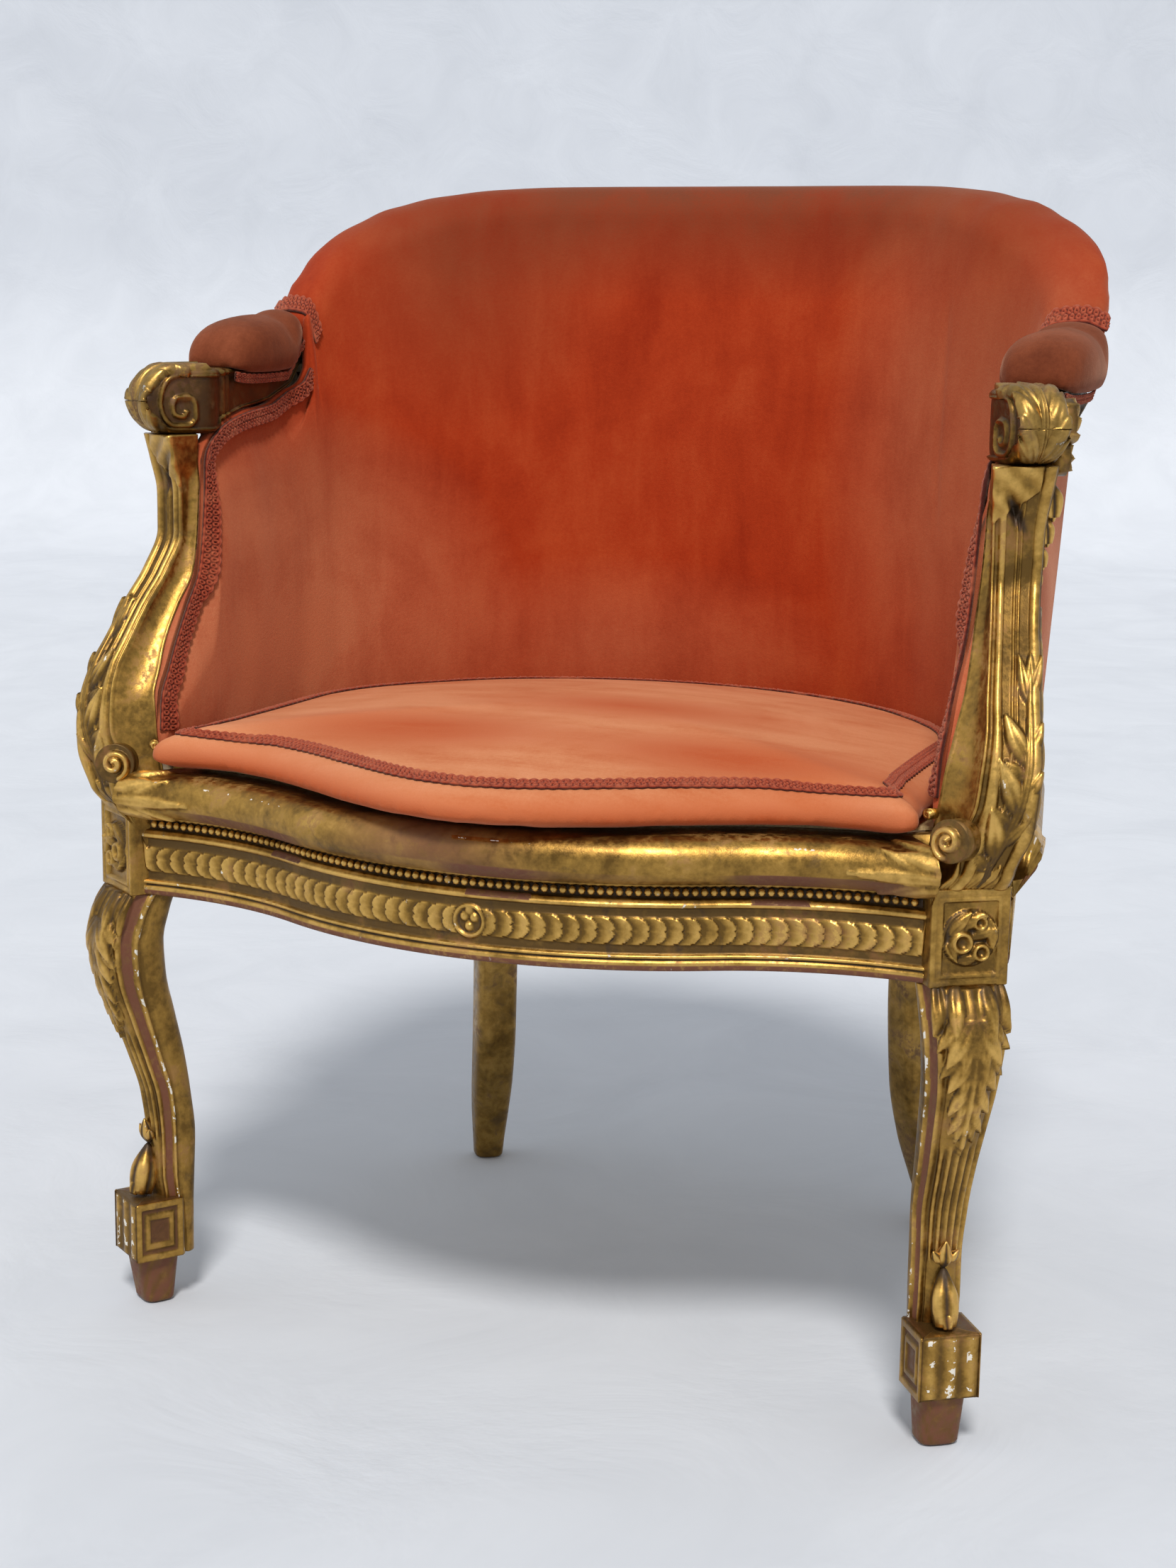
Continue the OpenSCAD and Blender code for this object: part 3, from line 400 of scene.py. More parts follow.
def coil(radius: float, turns: float, start: float, inner: float, way: int = 1, count: int = 48) -> Array:
    """Points of a spiral that winds in from a radius.

    Args:
        radius: outer radius.
        turns: number of turns.
        start: angle where it begins, in degrees.
        inner: share of the radius left at the eye.
        way: 1 for anticlockwise, -1 for clockwise.
        count: number of points.

    Returns:
        Rows of x and y.
    """
    t = np.linspace(0.0, 1.0, count)
    r = radius * np.power(inner, t)
    a = math.radians(start) + way * 2 * np.pi * turns * t
    return np.stack([r * np.cos(a), r * np.sin(a)], -1)


def scales(t: Array, v: Array, pitch: float, radius: float) -> Array:
    """Overlapping discs, each tipped so that its leading edge stands proud of the next.

    A disc's leading edge lies at t = e(v) = sqrt(r^2 - v^2) with a nick in its middle, and the height rises
    from one edge to the next as the fraction of (t - e) / pitch, so that each step is a round edge.

    Args:
        t: distance along the band.
        v: distance from its middle.
        pitch: distance between discs.
        radius: radius of a disc.

    Returns:
        Height from 0 to 1.
    """
    edge = np.sqrt(np.clip(radius * radius - np.square(v), 0.0, None)) - 1.5 * bell(v, 0.9)
    share = np.mod((t - edge) / pitch, 1.0)
    tip = (0.12 + 0.88 * np.power(share, 0.7)) * ease((1.0 - share) / 0.06)
    tip = tip * (0.62 + 0.38 * dome(np.abs(v) - 0.36 * radius, 0.7 * radius))
    return np.where(np.abs(v) < radius, tip, 0.0)


def medallion(centre: Array, normal: Array, up: Array, radius: float, depth: float,
              height: Formula, rows: int = 20, spokes: int = 56) -> Shell:
    """Carved round boss: a disc whose face rises by a height given at each point of it.

    Args:
        centre: middle of its face.
        normal: direction it faces.
        up: direction of its Y axis.
        radius: radius.
        depth: thickness behind the face.
        height: gives the height at x and y.
        rows: rings to the rim.
        spokes: points round it.

    Returns:
        The shell.
    """
    w = unit(np.asarray(normal, float))
    v = unit(np.asarray(up, float) - w * np.dot(up, w))
    u = np.cross(v, w)
    r = np.concatenate([np.linspace(0.02, 1.0, rows), [0.97, 0.02]])[:, None] * radius
    a = around(spokes)[None, :]
    x, y = r * np.cos(a), r * np.sin(a)
    z = height(x, y)
    z[-2:] = -depth
    face = np.asarray(centre, float) + x[..., None] * u + y[..., None] * v + z[..., None] * w
    shades = 0.10 + 0.85 * as_relief(z, 0.0, max(float(z.max()), 0.1))
    shades[-2:] = 0.42
    return loft(face, shades)


def bud(base: Array, tip: Array, radius: float, lobes: int, swell: float = 0.5, flare: float = 0.3) -> Shell:
    """Carved bud or husk: a round form along an axis, cut into lobes and open at its tip.

    The radius follows sin(pi t^swell) along the axis, and each lobe rounds it by |cos|.

    Args:
        base: where it starts.
        tip: where it ends.
        radius: greatest radius.
        lobes: number of lobes.
        swell: exponent that moves the widest place, towards the base below 1.
        flare: share of the radius left at the tip.

    Returns:
        The shell.
    """
    base, tip = np.asarray(base, float), np.asarray(tip, float)
    axis = unit(tip - base)
    side = unit(np.cross(axis, [0.31, 0.95, 0.11]))
    other = np.cross(axis, side)
    t = np.linspace(0.0, 1.0, 14)[:, None]
    a = around(8 * lobes)[None, :]
    r = radius * (np.sin(np.pi * np.power(t, swell)) * (1 - flare) + flare * np.sqrt(t))
    cut = 0.78 + 0.22 * np.abs(np.cos(a * lobes / 2)) * ease(t * 2)
    r = np.maximum(r * cut, 0.05)
    centre = base + (tip - base) * t[..., None]
    points = centre + (r * np.cos(a))[..., None] * side + (r * np.sin(a))[..., None] * other
    return loft(points, np.broadcast_to(as_relief(cut, 0.8, 1.0), r.shape))


def beads(centres: Array, radius: float) -> list[Shell]:
    """Small turned beads: a ball of 8 by 4 faces at each centre, as one shell."""
    a = around(8)
    e = np.linspace(-0.48, 0.48, 5)[:, None] * np.pi
    one = loft(joined(np.cos(e) * np.cos(a), np.cos(e) * np.sin(a), np.sin(e)) * radius)
    shift = np.arange(len(centres))[:, None, None] * len(one.points)
    points = (one.points[None] + centres[:, None]).reshape(-1, 3)
    return [Shell(points, (one.quads[None] + shift).reshape(-1, 4), (one.tris[None] + shift).reshape(-1, 3),
                  np.full(len(points), 0.95), np.zeros(len(points)))]


def placed(name: str, data: bpy.types.ID) -> bpy.types.Object:
    """New object of that name in the scene, at the origin."""
    made = bpy.data.objects.new(name, data)
    bpy.context.scene.collection.objects.link(made)
    return made


def make_piece(name: str, shells: Sequence[Shell], finish: Material,
               replaces: Sequence[str], body: str = CHAIR) -> bpy.types.Object:
    """Turns shells into one piece that rides on a body.

    Args:
        name: the piece's name.
        shells: its surfaces.
        finish: its material.
        replaces: CAD nodes it stands for.
        body: the body it moves with.

    Returns:
        The object.
    """
    starts = np.cumsum([0] + [len(s.points) for s in shells])
    world = (np.vstack([s.points for s in shells]) + [0.0, TUB_Y, 0.0]) * MM
    quads = np.vstack([s.quads + k for s, k in zip(shells, starts)])
    tris = np.vstack([s.tris + k for s, k in zip(shells, starts)])
    corners = np.append(quads, tris)
    totals = np.repeat([4, 3], [len(quads), len(tris)])
    mesh = bpy.data.meshes.new(name)
    for part, key, values in ((mesh.vertices, "co", world.astype(np.float32)),
                              (mesh.loops, "vertex_index", corners.astype(np.int32)),
                              (mesh.polygons, "loop_start", (np.cumsum(totals) - totals).astype(np.int32))):
        part.add(len(values))
        part.foreach_set(key, values.ravel())
    mesh.update(calc_edges=True)
    mesh.validate()
    mesh.shade_smooth()
    for key in ("relief", "wear_and_shade"):
        carried = mesh.attributes.new(key, "FLOAT", "POINT").data
        carried.foreach_set("value", np.concatenate([getattr(s, key) for s in shells]).astype(np.float32))
    mesh.materials.append(finish)
    piece = placed(name, mesh)
    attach(piece, body)
    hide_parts(*replaces)
    LOG.info("%s: %d points, %d faces", name, len(world), len(totals))
    return piece


def side_piece(side: Side, name: str, shells: Sequence[Shell], finish: Material,
               node: str) -> bpy.types.Object:
    """Makes one side's piece from shells made for the right; name and node lack their side.

    Args:
        side: the side wanted.
        name: the piece's name.
        shells: its surfaces.
        finish: its material.
        node: CAD node it stands for.

    Returns:
        The object.
    """
    return make_piece(f"{side.label}_{name}", [s.on(side) for s in shells], finish,
                      [f"{side.label}_{node}"])


@dataclass
class TubPlan:
    """Plan and height lines that the whole chair is set out from."""

    tub_r: float = 305.0
    corner_r: float = 261.0
    corner_a: float = math.radians(56.3)
    rail_r: float = 183.0
    side_a: float = math.radians(11.0)
    rail_top: float = 385.0
    front_reach: float = 241.0
    bow_r: float = 300.0
    bow_a: float = math.radians(28.6)
    flank_r: float = 232.7
    cant: float = math.radians(35.3)
    block: tuple[float, float] = (282.0, -149.6)
    block_top: float = 360.0
    crest_z: float = 788.6
    wing_s: float = 76.0
    wing_drop: float = 103.0
    wing_run: float = 64.0

    def __post_init__(self) -> None:
        """Works out the rear curve, the lengths along the back, and the block's and the leg's directions."""
        self.corner_x = self.tub_r - self.corner_r
        self.rear_r = self.corner_r + self.corner_x / math.cos(self.corner_a)
        self.rear_y = -self.corner_x * math.tan(self.corner_a)
        self.corner_len = self.corner_r * self.corner_a
        self.half_len = self.corner_len + self.rear_r * (math.pi / 2 - self.corner_a)
        self.block_out = np.array([math.sin(self.cant), -math.cos(self.cant), 0.0])
        self.block_side = np.array([math.cos(self.cant), math.sin(self.cant), 0.0])
        self.leg_out = np.array([math.cos(self.corner_a), math.sin(self.corner_a), 0.0])
        self.leg_side = np.array([-math.sin(self.corner_a), math.cos(self.corner_a), 0.0])

    @staticmethod
    def on_arc(centre: tuple[Array, Array], radius: Array, angle: Array) -> Array:
        """Plan point on an arc: centre + radius (cos, sin) of the angle."""
        return joined(centre[0] + radius * np.cos(angle), centre[1] + radius * np.sin(angle))

    def along(self, s: Array, off: Array) -> Array:
        """Plan point at distance s along the seat's outer line, moved out by off."""
        s, off = spread(s, off)
        past = np.maximum(s - self.corner_len, 0.0)
        turn = np.clip(s, 0.0, self.corner_len) / self.corner_r + past / self.rear_r
        rear = past > 0
        centre = np.where(rear, 0.0, self.corner_x), np.where(rear, self.rear_y, np.minimum(s, 0.0))
        return self.on_arc(centre, np.where(rear, self.rear_r, self.corner_r) + off, turn)

    def crest(self, s: Array) -> Array:
        """Height of the top of the back at s."""
        run = np.maximum(0.0, np.asarray(s, float) - self.wing_s) / self.wing_run
        return self.crest_z - self.wing_drop * np.exp(-np.power(run, 1.08))

    def lean(self, s: Array, z: Array) -> Array:
        """How far the back leans out at s and height z."""
        top = 8.0 + 25.0 * bell(np.asarray(s, float) - 115.0, 60.0)
        return top * np.maximum(0.0, (z - self.rail_top) / (self.crest_z - self.rail_top))

    def back(self, s: Array, off: Array, z: Array) -> Array:
        """Point on a layer of the back."""
        s, off, z = spread(s, off, z)
        return np.concatenate([self.along(s, off + self.lean(s, z)), z[..., None]], -1)

    def at_block(self, n: Array, s: Array, z: Array) -> Array:
        """Point in the right corner block's frame: n out of its carved face, s along it."""
        n, s, z = spread(n, s, z)
        return joined(*self.block, z) + n[..., None] * self.block_out + s[..., None] * self.block_side

    def radial(self, out: Array, side: Array, z: Array) -> Array:
        """Point in the right back leg's frame: out from the rear corner's line, side along it."""
        out, side, z = spread(out + self.corner_r, side, z)
        made = joined(self.corner_x, 0.0, z) + out[..., None] * self.leg_out
        return made + side[..., None] * self.leg_side

    def front(self, t: Array, off: Array) -> Array:
        """Plan point on the front rail at arc length t from its middle: a bow, then a hollow flank."""
        t, off = spread(t, off)
        run, bow, reach = np.abs(t), self.bow_r * self.bow_a, self.bow_r + self.flank_r
        y = self.bow_r - self.front_reach
        bowed = self.on_arc((0.0, y), self.bow_r + off, np.minimum(run, bow) / self.bow_r - math.pi / 2)
        centre = reach * math.sin(self.bow_a), y - reach * math.cos(self.bow_a)
        turn = math.pi / 2 + self.bow_a - np.maximum(run - bow, 0.0) / self.flank_r
        made = np.where((run > bow)[..., None], self.on_arc(centre, self.flank_r - off, turn), bowed)
        return made * joined(np.where(t < 0, -1.0, 1.0), 1.0)

    def side(self, t: Array, off: Array) -> Array:
        """Plan point on the right side rail at arc length t back from the start of its bend."""
        t, off = spread(t, off)
        centre = np.array([self.corner_x, 0.0]) + (self.corner_r - self.rail_r) * self.leg_out[:2]
        straight = np.minimum(t, 0.0)[..., None] * [-math.sin(self.side_a), math.cos(self.side_a)]
        turn = self.side_a + np.maximum(t, 0.0) / self.rail_r
        return self.on_arc(centre, self.rail_r + off, turn) + straight

    def rear(self, t: Array, off: Array) -> Array:
        """Plan point on the back rail at arc length t from its middle, positive to the right."""
        t, off = spread(t, off)
        return self.on_arc((0.0, self.rear_y), self.rear_r + off, math.pi / 2 - t / self.rear_r)


PLAN = TubPlan()


class NodeBench:
    """Builds a material's nodes round its Principled shader."""

    def __init__(self, name: str) -> None:
        """Makes an empty material with that name."""
        self.material = bpy.data.materials.new(name)
        self.material.use_nodes = True
        self.tree = self.material.node_tree
        self.shader = self.tree.nodes["Principled BSDF"]
        self.place = self.tree.nodes.new("ShaderNodeTexCoord").outputs["Object"]

    def node(self, kind: str, settings: dict | None = None, **sockets: Value) -> bpy.types.Node:
        """Adds a node.

        Args:
            kind: its type.
            settings: its own settings by name.
            sockets: its inputs by name, with _ for a space; a socket is linked and a value is set.

        Returns:
            The node.
        """
        made = self.tree.nodes.new(kind)
        for key, value in (settings or {}).items():
            setattr(made, key, value)
        for key, value in sockets.items():
            self.set(made.inputs[key.replace("_", " ")], value)
        return made

    def set(self, socket: Socket, value: Value) -> None:
        """Links a socket to another, or sets its value."""
        if isinstance(value, Socket):
            self.tree.links.new(value, socket)
        else:
            socket.default_value = value

    def stretched(self, scale: tuple[float, float, float]) -> Socket:
        """Object coordinates multiplied on each axis."""
        return self.node("ShaderNodeMapping", Vector=self.place, Scale=scale).outputs["Vector"]

    def carried(self, name: str) -> Socket:
        """Value that each point of the mesh carries under a name."""
        return self.node("ShaderNodeAttribute", {"attribute_name": name}).outputs["Fac"]

    def noise(self, scale: float, detail: float = 3.0, rough: float = 0.55, warp: float = 0.0,
              vector: Socket | None = None) -> Socket:
        """Noise in Object coordinates, as a value near 0.5."""
        made = self.node("ShaderNodeTexNoise", Vector=vector or self.place, Scale=scale, Detail=detail,
                         Roughness=rough, Distortion=warp)
        return made.outputs["Fac"]

    def ramp(self, factor: Socket, stops: Sequence[tuple[float, tuple]]) -> Socket:
        """Colour ramp through stops of position and colour."""
        made = self.node("ShaderNodeValToRGB", Fac=factor)
        band = made.color_ramp
        while len(band.elements) < len(stops):
            band.elements.new(0.5)
        for element, (spot, colour) in zip(band.elements, stops):
            element.position, element.color = spot, (*colour, 1.0)
        return made.outputs["Color"]

    def span(self, value: Socket, low: float, high: float, start: float = 0.0, end: float = 1.0) -> Socket:
        """Value brought from low..high to start..end, held at both ends."""
        ends = {"From_Min": low, "From_Max": high, "To_Min": start, "To_Max": end}
        made = self.node("ShaderNodeMapRange", {"interpolation_type": "SMOOTHSTEP"}, Value=value, **ends)
        return made.outputs["Result"]

    def math(self, operation: str, *values: Value) -> Socket:
        """Arithmetic on the values from the first to the last, two at a time."""
        made = values[0]
        for value in values[1:]:
            step = self.node("ShaderNodeMath", {"operation": operation})
            self.set(step.inputs[0], made)
            self.set(step.inputs[1], value)
            made = step.outputs[0]
        return made

    def weighted(self, *terms: tuple[Socket, float]) -> Socket:
        """Sum of values, each multiplied by its share."""
        return self.math("ADD", *(self.math("MULTIPLY", value, share) for value, share in terms))

    def blend(self, factor: Value, a: Value, b: Value) -> Socket:
        """Colour a turned into colour b by a factor."""
        made = self.node("ShaderNodeMix", {"data_type": "RGBA"})
        for k, value in ((0, factor), (6, a), (7, b)):
            self.set(made.inputs[k], (*value, 1.0) if isinstance(value, tuple) else value)
        return made.outputs[2]

    def near(self, centre: tuple[float, float, float], reach: tuple[float, float, float]) -> Socket:
        """Soft patch: 1 at a centre given in metres, falling to 0 at the reach along each axis."""
        scale = tuple(1.0 / r for r in reach)
        shift = tuple(-c / r for c, r in zip(centre, reach))
        moved = self.node("ShaderNodeMapping", Vector=self.place, Scale=scale, Location=shift)
        made = self.node("ShaderNodeTexGradient", {"gradient_type": "SPHERICAL"}, Vector=moved.outputs[0])
        return made.outputs["Fac"]

    def bump(self, height: Socket, distance: float, strength: float, under: Socket | None = None) -> Socket:
        """Bump of a height in metres; each one may lie over another."""
        made = self.node("ShaderNodeBump", Height=height, Distance=distance, Strength=strength)
        if under is not None:
            self.set(made.inputs["Normal"], under)
        return made.outputs["Normal"]

    def finish(self, **sockets: Value) -> Material:
        """Links or sets the shader's sockets, named with _ for a space, and returns the material."""
        for key, value in sockets.items():
            self.set(self.shader.inputs[key.replace("_", " ")], value)
        return self.material


@dataclass(frozen=True)
class Gilding:
    """Aged water gilding: ridges painted lighter and hollows painted darker by carving height, as painted
    highlight and painted shade over real burnish and dirt; rubbed red bole and chips down to white gesso.
    """

    name: str = "aged_gilding"
    bright: tuple = (0.70, 0.425, 0.115)
    middle: tuple = (0.40, 0.225, 0.050)
    dull: tuple = (0.17, 0.092, 0.022)
    # Colour of the hollows: dirt and painted shade; the shade veil blends towards it too.
    hollow: tuple = (0.035, 0.018, 0.007)
    bole: tuple = (0.15, 0.048, 0.018)
    gesso: tuple = (0.74, 0.70, 0.62)
    # Painted shade: strength of a dark veil that makes a shaded copy of the gilding.
    smoke: float = 0.0
    rubbed: float = 0.5

    def build(self) -> Material:
        """Makes the material."""
        bench = NodeBench(self.name)
        height, wear_and_shade = bench.carried("relief"), bench.carried("wear_and_shade")
        mottle = bench.noise(210.0, 5.0, 0.65)
        cloud = bench.noise(26.0, 4.0, 0.6, 0.4)
        grime_and_shade_noise = bench.noise(70.0, 4.0, 0.6, 0.6)
        fleck, flake = bench.noise(900.0, 3.0, 0.6), bench.noise(170.0, 3.0, 0.6)
        tone = bench.weighted((mottle, 0.32), (cloud, 0.68))
        # Painted highlight and painted shade: the tone rises with carving height, over real burnish on the
        # ridges.
        tone = bench.math("ADD", tone, bench.span(height, 0.15, 0.95, -0.17, 0.15))
        gold = bench.ramp(tone, [(0.34, self.dull), (0.49, self.middle), (0.66, self.bright)])
        # Painted shade, partly dirt: low carving height blends towards the hollow colour, with random dirt
        # patches on top.
        deep = bench.math("ADD", bench.span(height, 0.0, 0.38, 0.92, 0.0),
                          bench.span(grime_and_shade_noise, 0.56, 0.75, 0.0, 0.5))
        deep = bench.math("MINIMUM", deep, 1.0)
        rub = bench.math("MULTIPLY", bench.span(cloud, 0.53, 0.63), bench.span(mottle, 0.40, 0.56),
                         self.rubbed)
        band = bench.math("MULTIPLY", bench.span(wear_and_shade, 0.2, 0.8), bench.span(mottle, 0.36, 0.5, 0.72, 1.0))
        rub = bench.math("MAXIMUM", rub, band)
        chip = bench.math("MULTIPLY", bench.span(grime_and_shade_noise, 0.63, 0.66), bench.span(height, 0.6, 0.9),
                          bench.span(mottle, 0.55, 0.58))
        ground = bench.math("MULTIPLY", bench.span(wear_and_shade, -0.3, -0.8), bench.span(flake, 0.575, 0.59))
        chip = bench.math("MAXIMUM", chip, ground)
        colour = gold
        for share, shade in ((deep, self.hollow), (rub, self.bole), (chip, self.gesso)):
            colour = bench.blend(share, colour, shade)
        # Painted shade: the veil darkens the whole copy towards the hollow colour, in noisy patches.
        if self.smoke:
            veil = bench.span(grime_and_shade_noise, 0.35, 0.6, self.smoke * 0.6, self.smoke)
            colour = bench.blend(veil, colour, self.hollow)
        bare = bench.math("MAXIMUM", bench.math("MULTIPLY", rub, 0.9), chip,
                          bench.math("MULTIPLY", deep, 0.6))
        rough = bench.weighted((bench.span(mottle, 0.35, 0.65, 0.30, 0.46), 1.0), (bare, 0.3))
        lift = bench.bump(fleck, 0.0002, 0.3, bench.bump(mottle, 0.0005, 0.22))
        return bench.finish(Base_Color=colour, Roughness=rough, Metallic=bench.math("SUBTRACT", 0.95, bare),
                            Normal=lift)


@dataclass(frozen=True)
class Velvet:
    """Cut velvet: short pile with a sheen, brushed into lighter and darker patches, and paler in places from
    wear and painted light.
    """

    name: str = "back_velvet"
    deep: tuple = (0.275, 0.022, 0.004)
    body: tuple = (0.375, 0.038, 0.007)
    light: tuple = (0.45, 0.066, 0.015)
    # Pale colour of the worn patches, also used as painted light.
    worn: tuple = (0.50, 0.165, 0.075)
    nap: tuple = (0.15, 0.040, 0.016)
    wear_and_light_spots: tuple = ()
    nap_spots: tuple = ()
    streak: tuple = (34.0, 34.0, 9.0)
    sheen: float = 0.25

    def build(self) -> Material:
        """Makes the material."""
        bench = NodeBench(self.name)
        cloud = bench.noise(9.0, 5.0, 0.62, 0.5)
        brushed = bench.noise(1.0, 4.0, 0.65, 0.3, bench.stretched(self.streak))
        pile = bench.noise(1500.0, 2.0, 0.6)
        fuzz = bench.noise(420.0, 4.0, 0.7)
        tone = bench.weighted((cloud, 0.5), (brushed, 0.32), (fuzz, 0.18))
        colour = bench.ramp(tone, [(0.36, self.deep), (0.50, self.body), (0.64, self.light)])
        for spots, shade, low in ((self.nap_spots, self.nap, 0.30), (self.wear_and_light_spots, self.worn, 0.34)):
            for centre, reach, power in spots:
                patch = bench.math("MULTIPLY", bench.near(centre, reach), power,
                                   bench.span(tone, low, low + 0.28, 0.6, 1.2))
                colour = bench.blend(bench.math("MINIMUM", patch, 1.0), colour, shade)
        colour = bench.blend(bench.span(pile, 0.3, 0.7, 0.0, 0.22), colour, self.deep)
        lift = bench.bump(pile, 0.0004, 0.45, bench.bump(fuzz, 0.0009, 0.30))
        return bench.finish(Base_Color=colour, Roughness=bench.span(tone, 0.3, 0.7, 0.92, 0.74), Normal=lift,
                            Sheen_Weight=self.sheen, Sheen_Roughness=0.35, Sheen_Tint=(1.0, 0.62, 0.42, 1.0),
                            Specular_IOR_Level=0.12)


@dataclass(frozen=True)
class Braid:
    """Woven trimming of rust-red cords, with painted shade in its hollows and painted light on its loops,
    and faded in patches.
    """

    name: str = "rust_braid"

    def build(self) -> Material:
        """Makes the material."""
        bench = NodeBench(self.name)
        fade = bench.noise(45.0, 3.0, 0.6)
        thread = bench.noise(1300.0, 3.0, 0.7)
        # Painted shade and painted light: the tone follows the braid's relief, near black between the cords
        # and lighter on the loop tops.
        tone = bench.weighted((bench.carried("relief"), 0.62), (thread, 0.38))
        colour = bench.ramp(tone, [(0.22, (0.055, 0.008, 0.005)), (0.42, (0.25, 0.035, 0.015)),
                                   (0.74, (0.46, 0.095, 0.040))])
        colour = bench.blend(bench.span(fade, 0.5, 0.72, 0.0, 0.4), colour, (0.50, 0.14, 0.065))
        return bench.finish(Base_Color=colour, Roughness=0.86, Normal=bench.bump(thread, 0.0006, 0.6),
                            Sheen_Weight=0.25, Sheen_Tint=(1.0, 0.7, 0.55, 1.0), Specular_IOR_Level=0.15)


@dataclass(frozen=True)
class PlainWood:
    """Sawn beech with grain along Z."""

    name: str = "beech"

    def build(self) -> Material:
        """Makes the material."""
        bench = NodeBench(self.name)
        fibre = bench.noise(1.0, 6.0, 0.65, 1.2, bench.stretched((160.0, 160.0, 14.0)))
        tone = bench.weighted((fibre, 0.7), (bench.noise(14.0, 4.0, 0.6), 0.3))
        colour = bench.ramp(tone, [(0.34, (0.33, 0.20, 0.10)), (0.62, (0.52, 0.36, 0.21))])
        return bench.finish(Base_Color=colour, Roughness=bench.span(fibre, 0.3, 0.7, 0.54, 0.74),
                            Normal=bench.bump(fibre, 0.0006, 0.5))


@dataclass(frozen=True)
class Weave:
    """Plain woven webbing of crossing threads."""

    name: str = "webbing"
    pitch: float = 520.0

    def build(self) -> Material:
        """Makes the material."""
        bench = NodeBench(self.name)
        weft, warp = (bench.node("ShaderNodeTexWave", {"bands_direction": axis}, Vector=bench.place,
                                 Scale=self.pitch, Distortion=1.5).outputs["Fac"] for axis in "ZX")
        thread = bench.math("MAXIMUM", weft, warp)
        soil = bench.noise(18.0, 4.0, 0.6)
        colour = bench.ramp(bench.weighted((thread, 0.6), (soil, 0.4)),
                            [(0.25, (0.26, 0.19, 0.11)), (0.75, (0.52, 0.41, 0.26))])
        return bench.finish(Base_Color=colour, Roughness=bench.span(soil, 0.3, 0.7, 0.8, 0.95),
                            Normal=bench.bump(thread, 0.0005, 0.6))


@dataclass(frozen=True)
class Cane:
    """Split cane: straw-coloured, glossy on the bark side, darker at its nodes."""

    name: str = "woven_cane"

    def build(self) -> Material:
        """Makes the material."""
        bench = NodeBench(self.name)
        fibre = bench.noise(600.0, 4.0, 0.6)
        age = bench.noise(16.0, 4.0, 0.6, 0.5)
        stops = [(0.34, (0.36, 0.22, 0.09)), (0.5, (0.58, 0.41, 0.19)), (0.66, (0.72, 0.55, 0.30))]
        colour = bench.ramp(bench.weighted((fibre, 0.4), (age, 0.6)), stops)
        return bench.finish(Base_Color=colour, Roughness=bench.span(age, 0.3, 0.7, 0.35, 0.55),
                            Normal=bench.bump(fibre, 0.0002, 0.4))


@dataclass(frozen=True)
class ScrewSteel:
    """Dull steel of the brace screws, with brown rust in patches."""

    name: str = "screw_steel"

    def build(self) -> Material:
        """Makes the material."""
        bench = NodeBench(self.name)
        rust = bench.span(bench.noise(300.0, 4.0, 0.6), 0.45, 0.62)
        return bench.finish(Base_Color=bench.blend(rust, (0.42, 0.40, 0.37), (0.16, 0.07, 0.03)),
                            Roughness=bench.span(rust, 0.0, 1.0, 0.4, 0.8),
                            Metallic=bench.span(rust, 0.0, 1.0, 0.95, 0.1))


def meet(track: Formula, off: Array, measure: Callable[[Array], Array], target: float, low: float,
         high: float) -> Array:
    """Arc length at which each row of a rail meets a plane, by halving an interval.

    Args:
        track: gives the plan point at an arc length and an offset.
        off: offset of each row.
        measure: distance that rises along the track.
        target: distance of the plane.
        low: arc length before the plane.
        high: arc length behind it.

    Returns:
        One arc length for each row.
    """
    a, b = np.full(len(off), low), np.full(len(off), high)
    for _ in range(36):
        middle = (a + b) / 2
        past = measure(track(middle, off)) > target
        a, b = np.where(past, a, middle), np.where(past, middle, b)
    return (a + b) / 2


def block_n(p: Array) -> Array:
    """How far plan points lie out of the right corner block's face direction."""
    return (p - PLAN.block) @ PLAN.block_out[:2]


def block_s(p: Array) -> Array:
    """How far plan points lie along the right corner block's face."""
    return (p - PLAN.block) @ PLAN.block_side[:2]


def leg_side(p: Array) -> Array:
    """Sideways distance of plan points from the middle of the right back leg, rising towards the rear."""
    return (p - [PLAN.corner_x, 0.0]) @ PLAN.leg_side[:2]


def girth(rings: Array) -> Array:
    """Signed distance round each ring from its first point, from minus half to plus half the girth."""
    steps = np.linalg.norm(np.roll(rings, -1, 1) - rings, axis=2)
    run = np.cumsum(steps, 1) - steps
    total = steps.sum(1, keepdims=True)
    return np.where(run > total / 2, run - total, run)


